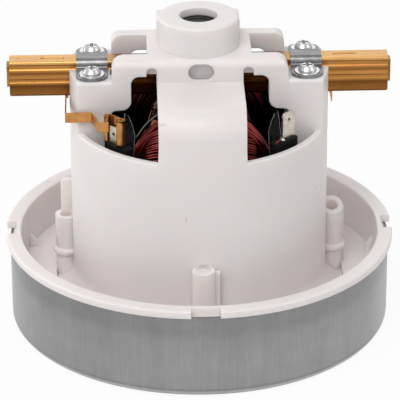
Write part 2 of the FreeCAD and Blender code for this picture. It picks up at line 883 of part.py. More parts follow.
def bearing_boot():
    """Rubber cup over the upper bearing, closed at the top with two raised rings."""
    inner = bearing_outer_radius + shaft_gap
    low = upper_bearing_bottom
    web = boot_top - boot_web
    top = boot_top - shaft_gap
    return spun(sharp([(boot_radius, low), (boot_radius, top), (6.4, top), (6.4, top - 0.35),
                       (5.4, top - 0.35), (5.4, top), (4.6, top), (4.6, top - 0.35),
                       (0, top - 0.35), (0, web + shaft_gap), (inner, web + shaft_gap), (inner, low)]))


# Rotor

def rotor_shaft():
    step = lower_bearing_bottom + bearing_width
    return spun(sharp([(0, shaft_bottom), (bearing_bore_radius - 0.5, shaft_bottom),
                       (bearing_bore_radius, shaft_bottom + 0.5), (bearing_bore_radius, step),
                       (shaft_radius, step), (shaft_radius, upper_bearing_bottom),
                       (bearing_bore_radius, upper_bearing_bottom),
                       (bearing_bore_radius, shaft_top - 0.5), (bearing_bore_radius - 0.5, shaft_top),
                       (0, shaft_top)]))


def armature_core():
    stack = ring(armature_radius, shaft_radius + shaft_gap, stack_bottom, stack_top)
    slot = rod(slot_radius, stack_bottom - 1, stack_top + 1, slot_pitch_radius)
    mouth = box(slot_pitch_radius, armature_radius + 1, -slot_mouth / 2, slot_mouth / 2,
                stack_bottom - 1, stack_top + 1)
    return stack.cut(around(slot, slot_count) + around(mouth, slot_count))


def armature_winding():
    """Copper end turns above and below the stack, joined by the bars in its slots."""
    inner = shaft_radius + 2.2
    outer = armature_radius - 0.8
    upper_low = stack_top + 0.1
    upper = spun([(inner, upper_low, 0), (outer, upper_low, 1.5),
                  (outer - 3.5, upper_low + end_turn_height, 3.5),
                  (inner, upper_low + end_turn_height + 1.5, 1.5)])
    lower_high = stack_bottom - 0.1
    lower = spun([(inner, lower_high, 0), (outer, lower_high, 1.5),
                  (outer - 2.5, lower_high - end_turn_height + 1, 3.5),
                  (inner, lower_high - end_turn_height, 1.5)])
    bar = rod(slot_radius - 0.15, lower_high - 1, upper_low + 1, slot_pitch_radius)
    return joined([upper, lower] + around(bar, slot_count))


def commutator_hub():
    return ring(commutator_radius - bar_depth, shaft_radius + shaft_gap,
                commutator_bottom - hub_overhang, commutator_top + hub_overhang)


def commutator():
    inner = commutator_radius - bar_depth + shaft_gap
    sleeve = ring(commutator_radius, inner, commutator_bottom, commutator_top)
    riser = ring(riser_radius, inner, commutator_bottom, commutator_bottom + riser_height)
    cut_depth = 1.2
    gap = box(commutator_radius - cut_depth, riser_radius + 1, -bar_gap / 2, bar_gap / 2,
              commutator_bottom - 1, commutator_top + 1)
    return joined([sleeve, riser]).cut(around(gap, commutator_bars))


# Field core, frames and coils

def stator_core():
    stack = rod(stack_radius, stack_bottom, stack_top).common(
        middle_box(stack_flat_x, stack_radius, stack_bottom, stack_top))
    low, high = stack_bottom - 1, stack_top + 1
    window = middle_box(slot_window_x, slot_window_y, low, high).common(
        rod(yoke_inner_radius, low, high))
    shoe_outer = bore_radius + pole_shoe_thickness
    wedge_x = 2 * shoe_outer * math.sin(math.radians(pole_half_angle))
    wedge_y = 2 * shoe_outer * math.cos(math.radians(pole_half_angle))
    wedge = along_z(sharp([(0, 0), (wedge_x, wedge_y), (-wedge_x, wedge_y)]), low, high)
    shoe = rod(shoe_outer, low, high).common(wedge)
    pole = box(-pole_half_width, pole_half_width, bore_radius - 4, yoke_inner_radius + 1, low, high)
    pole_and_shoe = joined([shoe, pole])
    window = window.cut([pole_and_shoe, mirrored_y(pole_and_shoe)])
    cuts = [window, rod(bore_radius, low, high)]
    for x in (-field_screw_x, field_screw_x):
        cuts.append(rod(field_screw_radius + 0.2, low, high, x))
    return less(stack, cuts)


def insulator_frame(low):
    """Moulded frame on the yoke's end face."""
    high = low + frame_sheet
    plate = rod(stack_radius - frame_overhang, low, high).common(
        middle_box(stack_flat_x - frame_overhang, stack_radius, low, high))
    window = middle_box(slot_window_x, slot_window_y, low - 1, high + 1).common(
        rod(yoke_inner_radius, low - 1, high + 1))
    cuts = [window]
    for x in (-field_screw_x, field_screw_x):
        cuts.append(rod(field_screw_radius + 0.2, low - 1, high + 1, x))
    return plate.cut(cuts)


def terminal_places():
    """Signs of x and y of the four terminal posts, and whether a receptacle is pushed on."""
    return [(-1, -1, True), (1, 1, True), (1, -1, False), (-1, 1, False)]


def at_terminal(shape, x, y):
    """Brings a shape to a terminal; it is made with its width along X and the shaft towards +Y."""
    angle = -x * y * terminal_angle + (180 if y > 0 else 0)
    return turned(shape, angle).translated(Vector(x * tab_x, y * tab_y, 0))


def upper_insulator():
    pieces = [insulator_frame(stack_top)]
    cuts = []
    half = tab_width / 2 + thread_gap
    depth = tab_thickness / 2 + thread_gap
    for x, y, fitted in terminal_places():
        top = fitted_post_top if fitted else bare_post_top
        middle = x * y * post_offset
        low, high = middle - post_length / 2, middle + post_length / 2
        post = along_z([(low, -post_thickness / 2, 0.8), (high, -post_thickness / 2, 0.8),
                        (high, post_thickness / 2, 0.8), (low, post_thickness / 2, 0.8)],
                       stack_top, top)
        foot = box(low, high, -stack_radius, post_thickness / 2, stack_top, frame_top)
        within = rod(stack_radius - frame_overhang, stack_top, frame_top)
        pieces += [at_terminal(post, x, y), at_terminal(foot, x, y).common(within)]
        slot = box(-half, half, -depth, depth, top - tab_root - thread_gap, top + 1)
        cuts.append(at_terminal(slot, x, y))
    return joined(pieces).cut(cuts)


def field_tabs():
    tabs = []
    half = tab_width / 2
    for x, y, fitted in terminal_places():
        top = fitted_post_top if fitted else bare_post_top
        blade_top = terminal_high - 3.5 if fitted else tab_top
        tab = along_y([(-half, top - tab_root, 0), (half, top - tab_root, 0),
                       (half, blade_top, 1.6), (-half, blade_top, 1.6)],
                      -tab_thickness / 2, tab_thickness / 2)
        hole = Part.makeCylinder(tab_hole_radius, 3, Vector(0, -1.5, blade_top - 3.0), Y_AXIS)
        tabs.append(at_terminal(tab.cut(hole), x, y))
    return group(tabs)


def biarc(start, start_way, end, end_way, share):
    """Two arcs that meet smoothly, from one point and direction to another.

    share is the first arc's tangent length over the second's.
    """
    chord = end - start
    slope = chord.dot(start_way * share + end_way)
    turn = 2 * share * (1 - start_way.dot(end_way))
    second = (-slope + math.sqrt(slope * slope + turn * chord.dot(chord))) / turn
    first = share * second
    near = start + start_way * first
    far = end - end_way * second
    joint = near + (far - near) * (first / (first + second))
    return [tangent_arc(start, near, joint), tangent_arc(joint, far, end)]


def tangent_arc(start, corner, end):
    """Arc from start to end whose tangents meet at corner, at equal distances."""
    to_start = (start - corner).normalize()
    half = to_start.getAngle(end - corner) / 2
    middle = rounded_corner(corner, start, end, (start - corner).Length * math.tan(half))[1]
    return Part.Arc(start, middle, end).toShape()


def wound_path(points, ways, shares, lead):
    """Biarcs through the points, with a straight lead at each end."""
    edges = [Part.LineSegment(points[0] - ways[0] * lead, points[0]).toShape()]
    for i in range(len(points) - 1):
        edges += biarc(points[i], ways[i], points[i + 1], ways[i + 1], shares[i % len(shares)])
    edges.append(Part.LineSegment(points[-1], points[-1] + ways[-1] * lead).toShape())
    return edges


def tube_along(edges, diameter, sides=6):
    """Wire of the given diameter along the edges, with a many-sided section."""
    start = edges[0].Vertexes[0].Point
    way = (edges[0].Vertexes[-1].Point - start).normalize()
    across = way.cross(Y_AXIS if abs(way.dot(Y_AXIS)) < 0.9 else X_AXIS).normalize()
    over = way.cross(across)
    corners = []
    for i in range(sides + 1):
        angle = 2 * math.pi * (i % sides) / sides
        corners.append(start + across * (diameter / 2 * math.cos(angle))
                       + over * (diameter / 2 * math.sin(angle)))
    return Part.Wire(edges).makePipeShell([Part.makePolygon(corners)], True, False)


def least_gap(edges, diameter, apart):
    """Least clear distance between turns, on points along the wire that are apart by the path."""
    points = []
    travelled = 0.0
    for edge in edges:
        count = max(3, int(edge.Length / 4))
        for i, point in enumerate(edge.discretize(Number=count)[:-1]):
            points.append((travelled + edge.Length * i / (count - 1), point))
        travelled += edge.Length
    least = 1e9
    for i, (place, point) in enumerate(points):
        for other_place, other in points[i + 1:]:
            if other_place - place > apart:
                least = min(least, point.distanceToPoint(other))
    return least - diameter


def coil_core_front():
    """Body of the front coil under its outer wires, an upright ring round the pole."""
    half_width = coil_half_width - wire_radius - 0.05
    half_height = coil_half_height - wire_radius - 0.05
    quarter = [Vector(half_width, 0, 0), Vector(0, 0, half_height),
               Vector(-half_width, 0, 0), Vector(0, 0, -half_height)]
    ways = [Z_AXIS, X_AXIS * -1, Z_AXIS * -1, X_AXIS]
    edges = []
    for i in range(4):
        share = coil_shares()[i % 2]
        edges += biarc(quarter[i], ways[i], quarter[(i + 1) % 4], ways[(i + 1) % 4], share)
    face = Part.Face(Part.Wire(edges))
    ring_solid = face.translated(Vector(0, -coil_front_y, stack_middle)).extrude(
        Vector(0, coil_front_y - coil_back_y, 0))
    half_hole = stack_height / 2 + coil_hole_gap
    hole = along_y([(-coil_inner_half_width, stack_middle - half_hole, coil_hole_corner),
                    (coil_inner_half_width, stack_middle - half_hole, coil_hole_corner),
                    (coil_inner_half_width, stack_middle + half_hole, coil_hole_corner),
                    (-coil_inner_half_width, stack_middle + half_hole, coil_hole_corner)],
                   -coil_front_y - 1, -coil_back_y + 1)
    front_edges = [edge for edge in ring_solid.Edges
                   if edge.BoundBox.YMax < -coil_front_y + 0.01]
    rounding = coil_edge_radius - wire_radius - 0.05
    return ring_solid.makeFillet(rounding, front_edges).cut(hole)


def coil_shares():
    """Tangent ratios that keep a coil's corners full: side to end, then end to side."""
    return (0.5, 2.0)


def coil_section(quarter):
    """Width, height and depth that the wire has reached after so many quarter turns."""
    share = min(1.0, quarter / face_quarter_count)
    bend = math.pi / 2 * min(1.0, max(0.0, (quarter - face_quarter_count) / edge_quarter_count))
    width_reach = coil_half_width - coil_edge_radius - face_start_half_width
    height_reach = coil_half_height - coil_edge_radius - face_start_half_height
    swing = coil_edge_radius * math.sin(bend)
    half_width = face_start_half_width + share * width_reach + swing
    half_height = face_start_half_height + share * height_reach + swing
    wound_back = rim_pitch / 4 * max(0, quarter - face_quarter_count - edge_quarter_count)
    depth = coil_edge_radius * (1 - math.cos(bend)) + wound_back
    return half_width, half_height, depth


def coil_skin_path():
    """One wire: it spirals out over the front face, rolls over its edge and winds back along the rim."""
    face_y = -(coil_front_y + wire_radius + 0.05)
    last = face_quarter_count + edge_quarter_count + rim_quarter_count
    points = []
    ways = []
    for k in range(last + 1):
        a, b, depth = coil_section(k)
        x = (a, 0, -a, 0)[k % 4]
        z = (0, b, 0, -b)[k % 4]
        points.append(Vector(x, face_y + depth, stack_middle + z))
        first = coil_section(max(k - 1, 0))
        second = coil_section(min(k + 1, last))
        flat_way = (Z_AXIS, X_AXIS * -1, Z_AXIS * -1, X_AXIS)[k % 4]
        rise = (second[2] - first[2]) / (math.pi * (a + b) / 2)
        ways.append((flat_way + Y_AXIS * rise).normalize())
    return wound_path(points, ways, coil_shares(), wire_diameter)


def field_screws():
    """Two long screws clamp the stack and its frames up against the housing's side blocks."""
    head_top = stack_bottom - frame_sheet - shaft_gap
    shank_top = block_bottom + field_screw_grip - 1
    screws = []
    for x in (-field_screw_x, field_screw_x):
        head = rod(3.4, head_top - 2.4, head_top, x)
        shank = rod(field_screw_radius, head_top - 0.2, shank_top, x)
        screws.append(joined([head, shank]))
    return group(screws)


# Brush gear, modelled on the right (+X) and turned half round for the left

def tube_outline(inset=0.0):
    """Section of the brush tube, with a pressed groove high and at mid height on each side."""
    half = tube_width / 2 - inset
    low, high = tube_low + inset, tube_high - inset
    if inset:
        return [(-half, low, 0.2), (half, low, 0.2), (half, high, 0.2), (-half, high, 0.2)]
    dip = tube_groove_depth
    side = [(half, low, 0.8), (half, tube_centre_z - 1.5, 0.4), (half - dip, tube_centre_z - 1.1, 0),
            (half - dip, tube_centre_z - 0.3, 0), (half, tube_centre_z + 0.1, 0.4),
            (half, tube_high - 3.4, 0.4), (half - dip, tube_high - 2.9, 0),
            (half - dip, tube_high - 1.6, 0), (half, tube_high - 1.1, 0.3), (half, high, 0.6)]
    return side + [(-u, v, radius) for u, v, radius in reversed(side)]


def brush_tube():
    tube = along_x(tube_outline(), tube_inner_x, tube_outer_x)
    tube = tube.common(along_y([(tube_inner_x, tube_low, 0), (tube_outer_x, tube_low, tube_foot_radius),
                                (tube_outer_x, tube_high, 0), (tube_inner_x, tube_high, 0)],
                               -tube_width, tube_width))
    hollow = along_x(tube_outline(tube_wall), tube_inner_x - 1, tube_outer_x + 1)
    slot_end = tube_outer_x - tube_slot_end
    slot = along_z([(x, y, tube_slot_width * 0.48)
                    for x, y in ((slot_end - tube_slot_length, -tube_slot_width / 2),
                                 (slot_end, -tube_slot_width / 2),
                                 (slot_end, tube_slot_width / 2),
                                 (slot_end - tube_slot_length, tube_slot_width / 2))],
                   tube_high - tube_slot_depth, tube_high + 1)
    dimple = rod(tube_dimple_radius, tube_high - tube_slot_depth, tube_high + 1,
                 tube_outer_x - tube_dimple_end)
    return tube.cut([hollow, slot, dimple])


def brush_cap():
    """Plug in the tube's outer end with a narrower lug that stands proud of it."""
    half = tube_width / 2 - tube_wall - shaft_gap
    low = tube_low + tube_wall + shaft_gap
    high = tube_high - tube_wall - shaft_gap
    plug = along_x([(-half, low, 0.2), (half, low, 0.2), (half, high, 0.2), (-half, high, 0.2)],
                   tube_outer_x - cap_thickness, tube_outer_x)
    plug = plug.common(along_y([(tube_inner_x, low, 0), (tube_outer_x, low, tube_foot_radius - tube_wall),
                                (tube_outer_x, high, 0), (tube_inner_x, high, 0)],
                               -tube_width, tube_width))
    lug_high = tube_high - cap_lug_top
    lug_low = lug_high - cap_lug_height
    lug = along_x([(-cap_lug_half_width, lug_low, 0.8), (cap_lug_half_width, lug_low, 0.8),
                   (cap_lug_half_width, lug_high, 0.8), (-cap_lug_half_width, lug_high, 0.8)],
                  tube_outer_x - 0.1, tube_outer_x + cap_thickness)
    return joined([plug, lug])


def carbon_brush():
    half = tube_width / 2 - tube_wall - brush_gap
    low = tube_low + tube_wall + brush_gap
    high = tube_high - tube_wall - brush_gap
    block = box(brush_start_x - 2, brush_end_x, -half, half, low, high)
    return block.cut(rod(brush_start_x, low - 1, high + 1))


def brush_spring():
    """Coil spring between the brush and its cap, wound in half turns."""
    low = brush_end_x + 0.4
    high = tube_outer_x - cap_thickness - 0.3
    radius = spring_radius - spring_wire / 2
    pitch = (high - low - spring_wire) / spring_turn_count
    points = []
    ways = []
    for k in range(2 * spring_turn_count + 1):
        sign = 1 if k % 2 == 0 else -1
        points.append(Vector(low + spring_wire / 2 + pitch * k / 2, 0, tube_centre_z + sign * radius))
        ways.append((Y_AXIS * sign + X_AXIS * (pitch / (2 * math.pi * radius))).normalize())
    edges = []
    for k in range(len(points) - 1):
        edges += biarc(points[k], ways[k], points[k + 1], ways[k + 1], 1.0)
    return edges


def brush_strap():
    """Steel saddle over the tube, with a foot on the seat at each side."""
    top_half = tube_width / 2 + seat_gap + strap_sheet
    foot_top = seat_top + strap_sheet
    inner_half = top_half - strap_sheet
    half_outline = [(strap_end_y, seat_top, 0), (strap_end_y, foot_top, 0),
                    (top_half, foot_top, 0.6), (top_half, strap_top, strap_bend_radius)]
    inner_outline = [(inner_half, tube_high, 0.6), (inner_half, seat_top, 1.2)]
    outer_left = [(-u, v, r) for u, v, r in reversed(half_outline)]
    inner_left = [(-u, v, r) for u, v, r in inner_outline]
    section = half_outline + outer_left + [inner_left[1], inner_left[0]] + inner_outline
    strip = along_x(section, strap_centre_x - strap_width / 2, strap_centre_x + strap_width / 2)
    corner = 4.6
    plan = along_z([(strap_centre_x - strap_width / 2, -strap_end_y, corner),
                    (strap_centre_x + strap_width / 2, -strap_end_y, corner),
                    (strap_centre_x + strap_width / 2, strap_end_y, corner),
                    (strap_centre_x - strap_width / 2, strap_end_y, corner)],
                   seat_top - 1, strap_top + 1)
    holes = [rod(strap_screw_radius + 0.3, seat_top - 1, foot_top + 1, strap_centre_x, y)
             for y in (-strap_screw_y, strap_screw_y)]
    return strip.common(plan).cut(holes)


def strap_screws():
    """Pan heads on wide thin flanges, with a cross recess."""
    foot_top = seat_top + strap_sheet
    flange_top = foot_top + strap_flange_height
    head_top = foot_top + strap_head_height
    edge = (strap_head_radius - strap_head_top_radius) * 0.8
    head = spun([(0, foot_top, 0), (strap_flange_radius, foot_top, 0),
                 (strap_flange_radius, flange_top, strap_flange_height * 0.5),
                 (strap_head_radius, flange_top, 0), (strap_head_radius, flange_top + 0.6, 0.3),
                 (strap_head_top_radius, head_top, edge), (0, head_top, 0)])
    recess = [middle_box(0.5, 1.8, head_top - 1.5, head_top + 1),
              middle_box(1.8, 0.5, head_top - 1.5, head_top + 1)]
    shank = rod(strap_screw_radius, seat_top - strap_screw_grip + 1, foot_top + 0.2)
    screw = joined([head, shank]).cut(recess)
    return group([screw.translated(Vector(x, y, 0)) for x, y in strap_screw_places()])


def upright_strip(start, end, start_low, end_low, height, thickness):
    """Sheet standing on edge between two (x, y) places, level or sloping."""
    a = Vector(start[0], start[1], 0)
    b = Vector(end[0], end[1], 0)
    way = (b - a).normalize()
    side = Z_AXIS.cross(way) * (thickness / 2)
    a = a - way * (thickness / 2) - side
    b = b + way * (thickness / 2) - side
    corners = [Vector(a.x, a.y, start_low), Vector(b.x, b.y, end_low),
               Vector(b.x, b.y, end_low + height), Vector(a.x, a.y, start_low + height)]
    return Part.Face(Part.makePolygon(corners + corners[:1])).extrude(side * 2)


def receptacle():
    """Push-on receptacle: a back plate towards the shaft and a roll round each edge of the tab."""
    roll_x = tab_width / 2 - 0.05
    plate = box(-roll_x, roll_x, roll_inner_radius, roll_outer_radius, terminal_low, terminal_high)
    rolls = []
    for sign in (-1, 1):
        x = sign * roll_x
        curl = ring(roll_outer_radius, roll_inner_radius, terminal_low, terminal_high, x, 0)
        opening = box(*sorted((x, x - sign * 3)), -3, roll_inner_radius - 0.2,
                      terminal_low - 1, terminal_high + 1)
        rolls.append(curl.cut(opening.translated(Vector(-sign * 0.35, 0, 0))))
    window = box(-1.1, 1.1, 0, 3, terminal_low + 2.5, terminal_low + 5)
    return joined([plate] + rolls).cut(window)


def brush_lead():
    """Brass strip from the left tube's underside round the seat to a push-on receptacle."""
    half = lead_sheet / 2
    left_roll = at_terminal(Part.Vertex(Vector(-tab_width / 2 + 0.05, 0, 0)), -1, -1).Point
    end_y = left_roll.y - roll_outer_radius + half
    last_low = lead_low - lead_slope
    strips = [
        upright_strip((-lead_drop_x, -tube_width / 2), (-lead_drop_x, -lead_front_y),
                      lead_low, lead_low, lead_width, lead_sheet),
        upright_strip((-lead_drop_x, -lead_front_y), (-lead_step_x, -lead_front_y),
                      lead_low, lead_low, lead_width, lead_sheet),
        upright_strip((-lead_step_x, -lead_front_y), (-lead_end_x, end_y),
                      lead_low, last_low, lead_width, lead_sheet),
        upright_strip((-lead_end_x, end_y), (left_roll.x, end_y),
                      last_low, last_low, lead_width, lead_sheet)]
    foot_top = tube_low - shaft_gap
    riser = box(-lead_drop_x - half, -lead_drop_x + half, -tube_width / 2, tube_width / 2 - 1.5,
                lead_low, foot_top)
    foot = box(-lead_drop_x - half, -lead_drop_x + lead_foot_length, -tube_width / 2,
               tube_width / 2 - 1.5, foot_top - lead_foot_drop, foot_top)
    return joined(strips + [riser, foot, at_terminal(receptacle(), -1, -1)])


# Every node, by name

def all_nodes():
    tube = brush_tube()
    cap = brush_cap()
    brush = carbon_brush()
    strap = brush_strap()
    lead = brush_lead()
    spring_edges = brush_spring()
    spring = tube_along(spring_edges, spring_wire)
    core = coil_core_front()
    skin_edges = coil_skin_path()
    skin = tube_along(skin_edges, wire_diameter)
    print("least gap between field coil turns %.3f mm"
          % least_gap(skin_edges, wire_diameter, 2 * coil_inner_half_width))
    print("least gap between brush spring turns %.3f mm"
          % least_gap(spring_edges, spring_wire, spring_radius * 3))
    lower = lower_bearing_bottom
    upper = upper_bearing_bottom
    return {
        "motor_housing": motor_housing(),
        "fan_shell": fan_shell(),
        "diffuser_plate": diffuser_plate(),
        "bearing_bracket": bearing_bracket(),
        "bracket_screws": bracket_screws(),
        "lower_bearing_outer_ring": bearing_outer_ring(lower),
        "lower_bearing_inner_ring": bearing_inner_ring(lower),
        "lower_bearing_balls": bearing_balls(lower),
        "lower_bearing_seals": bearing_seals(lower),
        "upper_bearing_boot": bearing_boot(),
        "upper_bearing_outer_ring": bearing_outer_ring(upper),
        "upper_bearing_inner_ring": bearing_inner_ring(upper),
        "upper_bearing_balls": bearing_balls(upper),
        "upper_bearing_seals": bearing_seals(upper),
        "stator_core": stator_core(),
        "upper_insulator": upper_insulator(),
        "lower_insulator": insulator_frame(stack_bottom - frame_sheet),
        "field_screws": field_screws(),
        "field_coil_front": core,
        "field_coil_back": half_turned(core),
        "field_winding_front": skin,
        "field_winding_back": half_turned(skin),
        "field_tabs": field_tabs(),
        "rotor_shaft": rotor_shaft(),
        "armature_core": armature_core(),
        "armature_winding": armature_winding(),
        "commutator_hub": commutator_hub(),
        "commutator": commutator(),
        "impeller_back_disc": impeller_back_disc(),
        "impeller_blades": impeller_blade_set(),
        "impeller_shroud": impeller_shroud(),
        "impeller_hub": impeller_hub(),
        "impeller_spacer": ring(spacer_radius, bearing_bore_radius + shaft_gap, back_disc_top,
                                lower_bearing_bottom),
        "impeller_washer": ring(washer_radius, bearing_bore_radius + shaft_gap, washer_bottom,
                                hub_bottom),
        "impeller_nut": impeller_nut(),
        "brush_tube_right": tube,
        "brush_tube_left": half_turned(tube),
        "brush_cap_right": cap,
        "brush_cap_left": half_turned(cap),
        "carbon_brush_right": brush,
        "carbon_brush_left": half_turned(brush),
        "brush_spring_right": spring,
        "brush_spring_left": half_turned(spring),
        "brush_strap_right": strap,
        "brush_strap_left": half_turned(strap),
        "strap_screws": strap_screws(),
        "brush_lead_left": lead,
        "brush_lead_right": half_turned(lead),
    }


def main():
    os.makedirs("parts", exist_ok=True)
    for name, shape in all_nodes().items():
        if not shape.isValid() or shape.Volume <= 0:
            print("not a valid solid:", name)
        shape.exportStep("parts/" + name + ".step")
        print("%-26s %2d solids %10.1f mm3" % (name, len(shape.Solids), shape.Volume))


main()
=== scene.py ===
import math
import random

import bpy
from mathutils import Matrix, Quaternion, Vector


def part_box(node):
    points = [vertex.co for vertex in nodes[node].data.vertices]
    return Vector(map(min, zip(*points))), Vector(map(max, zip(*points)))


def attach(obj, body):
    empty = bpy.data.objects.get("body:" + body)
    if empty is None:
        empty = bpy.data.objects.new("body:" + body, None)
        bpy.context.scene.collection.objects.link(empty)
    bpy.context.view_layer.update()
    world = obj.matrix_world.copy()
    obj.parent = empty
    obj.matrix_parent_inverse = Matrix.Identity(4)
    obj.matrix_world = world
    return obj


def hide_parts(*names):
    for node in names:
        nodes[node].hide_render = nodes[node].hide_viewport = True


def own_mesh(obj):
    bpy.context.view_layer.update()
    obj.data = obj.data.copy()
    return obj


# A through-flow vacuum motor on a white ground. Metres; +Z runs up the shaft, X runs along the
# brush tubes and the camera looks from the front, -Y.

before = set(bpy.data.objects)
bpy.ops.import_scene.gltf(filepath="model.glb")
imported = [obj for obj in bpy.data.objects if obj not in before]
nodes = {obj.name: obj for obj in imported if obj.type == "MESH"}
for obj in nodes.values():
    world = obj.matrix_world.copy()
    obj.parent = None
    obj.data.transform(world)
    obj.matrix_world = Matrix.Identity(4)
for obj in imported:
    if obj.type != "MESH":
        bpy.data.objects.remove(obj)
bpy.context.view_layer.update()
scene = bpy.context.scene
random.seed(7)

MM = 0.001


# Camera, fitted to the circles and edges of the motor in the photograph

AZIMUTH, ELEVATION, ROLL = -1.9, 25.105, -0.17
CAMERA_DISTANCE = 1.1
TARGET_RIGHT, TARGET_HEIGHT = 0.00034, 0.04515
FOCAL_PIXELS, PICTURE_PIXELS = 2953.4, 400
SENSOR_WIDTH = 36
CLIP_START, CLIP_END = 0.05, 20


def add_camera():
    azimuth = math.radians(AZIMUTH)
    elevation = math.radians(ELEVATION)
    right = Vector((math.cos(azimuth), math.sin(azimuth), 0))
    back = Vector((math.sin(azimuth) * math.cos(elevation),
                   -math.cos(azimuth) * math.cos(elevation), math.sin(elevation)))
    target = right * TARGET_RIGHT + Vector((0, 0, TARGET_HEIGHT))
    data = bpy.data.cameras.new("camera")
    data.sensor_width = SENSOR_WIDTH
    data.lens = FOCAL_PIXELS / PICTURE_PIXELS * SENSOR_WIDTH
    data.clip_start = CLIP_START
    data.clip_end = CLIP_END
    camera = bpy.data.objects.new("camera", data)
    scene.collection.objects.link(camera)
    camera.location = target + back * CAMERA_DISTANCE
    camera.rotation_mode = "QUATERNION"
    camera.rotation_quaternion = (Quaternion(back, math.radians(ROLL))
                                  @ (-back).to_track_quat("-Z", "Y"))
    scene.camera = camera


# Node helpers

def feed(tree, socket, value):
    """Set a socket to a number or link it to another node's output."""
    if isinstance(value, (int, float)):
        socket.default_value = value
    else:
        tree.links.new(value, socket)


def math_node(tree, operation, *values):
    node = tree.nodes.new("ShaderNodeMath")
    node.operation = operation
    for socket, value in zip(node.inputs, values):
        feed(tree, socket, value)
    return node.outputs[0]


class Shader:
    """A principled material whose colour, roughness and relief come from procedural nodes."""

    def __init__(self, name, color, roughness, metallic=0.0, **sockets):
        self.material = bpy.data.materials.new(name)
        self.material.use_nodes = True
        self.tree = self.material.node_tree
        self.bsdf = self.tree.nodes["Principled BSDF"]
        self.set(self.bsdf, "Base Color", (*color, 1))
        self.set(self.bsdf, "Roughness", roughness)
        self.set(self.bsdf, "Metallic", metallic)
        for socket, value in sockets.items():
            self.set(self.bsdf, socket.replace("_", " "), value)
        coordinates = self.tree.nodes.new("ShaderNodeTexCoord")
        self.position = coordinates.outputs["Object"]

    def set(self, node, socket, value):
        node.inputs[socket].default_value = value

    def link(self, output, node, socket):
        self.tree.links.new(output, node.inputs[socket])

    def math(self, operation, *values):
        return math_node(self.tree, operation, *values)

    def split(self, vector):
        node = self.tree.nodes.new("ShaderNodeSeparateXYZ")
        self.tree.links.new(vector, node.inputs[0])
        return node.outputs

    def join(self, x, y, z):
        node = self.tree.nodes.new("ShaderNodeCombineXYZ")
        for socket, value in zip(node.inputs, (x, y, z)):
            feed(self.tree, socket, value)
        return node.outputs[0]

    def stretched(self, *scales):
        node = self.tree.nodes.new("ShaderNodeMapping")
        node.inputs["Scale"].default_value = scales
        self.tree.links.new(self.position, node.inputs["Vector"])
        return node.outputs[0]

    def around_axis(self, radius_scale, height_scale):
        """Coordinates along the girth, the radius and the height of a part round about Z."""
        x, y, z = self.split(self.position)
        angle = self.math("ARCTAN2", y, x)
        squares = self.math("ADD", self.math("MULTIPLY", x, x), self.math("MULTIPLY", y, y))
        distance = self.math("SQRT", squares)
        return self.join(self.math("MULTIPLY", angle, radius_scale),
                         self.math("MULTIPLY", distance, radius_scale * 4),
                         self.math("MULTIPLY", z, height_scale))

    def noise(self, scale, detail=2.0, roughness=0.5, vector=None):
        node = self.tree.nodes.new("ShaderNodeTexNoise")
        node.inputs["Scale"].default_value = scale
        node.inputs["Detail"].default_value = detail
        node.inputs["Roughness"].default_value = roughness
        self.tree.links.new(vector or self.position, node.inputs["Vector"])
        return node.outputs["Fac"]

    def sheets(self, scale):
        """Level bands, one above the other."""
        node = self.tree.nodes.new("ShaderNodeTexWave")
        node.wave_type = "BANDS"
        node.bands_direction = "Z"
        node.inputs["Scale"].default_value = scale
        self.tree.links.new(self.position, node.inputs["Vector"])
        return node.outputs["Fac"]

    def ramp(self, factor, *stops):
        """stops are (position, grey or colour)."""
        node = self.tree.nodes.new("ShaderNodeValToRGB")
        elements = node.color_ramp.elements
        while len(elements) < len(stops):
            elements.new(0.5)
        for element, (place, value) in zip(elements, stops):
            element.position = place
            color = (value, value, value) if isinstance(value, (int, float)) else value
            element.color = (*color, 1)
        self.tree.links.new(factor, node.inputs["Fac"])
        return node.outputs["Color"]

    def product(self, first, *others):
        """The colours multiplied with each other."""
        for other in others:
            node = self.tree.nodes.new("ShaderNodeMix")
            node.data_type = "RGBA"
            node.blend_type = "MULTIPLY"
            node.inputs[0].default_value = 1.0
            self.tree.links.new(first, node.inputs[6])
            self.tree.links.new(other, node.inputs[7])
            first = node.outputs[2]
        return first

    def shade(self, color):
        self.link(color, self.bsdf, "Base Color")

    def gloss(self, factor, low, high):
        node = self.tree.nodes.new("ShaderNodeMapRange")
        node.inputs["To Min"].default_value = low
        node.inputs["To Max"].default_value = high
        self.tree.links.new(factor, node.inputs["Value"])
        self.link(node.outputs[0], self.bsdf, "Roughness")

    def relief(self, height, depth, strength=1.0, edge=0.0):
        """Bump of the given depth in metres; edge softens sharp corners by that radius."""
        node = self.tree.nodes.new("ShaderNodeBump")
        node.inputs["Strength"].default_value = strength
        node.inputs["Distance"].default_value = depth
        self.tree.links.new(height, node.inputs["Height"])
        if edge:
            bevel = self.tree.nodes.new("ShaderNodeBevel")
            bevel.samples = 4
            bevel.inputs["Radius"].default_value = edge
            self.tree.links.new(bevel.outputs[0], node.inputs["Normal"])
        self.link(node.outputs[0], self.bsdf, "Normal")


def dress(shader, *names):
    for name in names:
        mesh = nodes[name].data
        mesh.materials.clear()
        mesh.materials.append(shader.material)
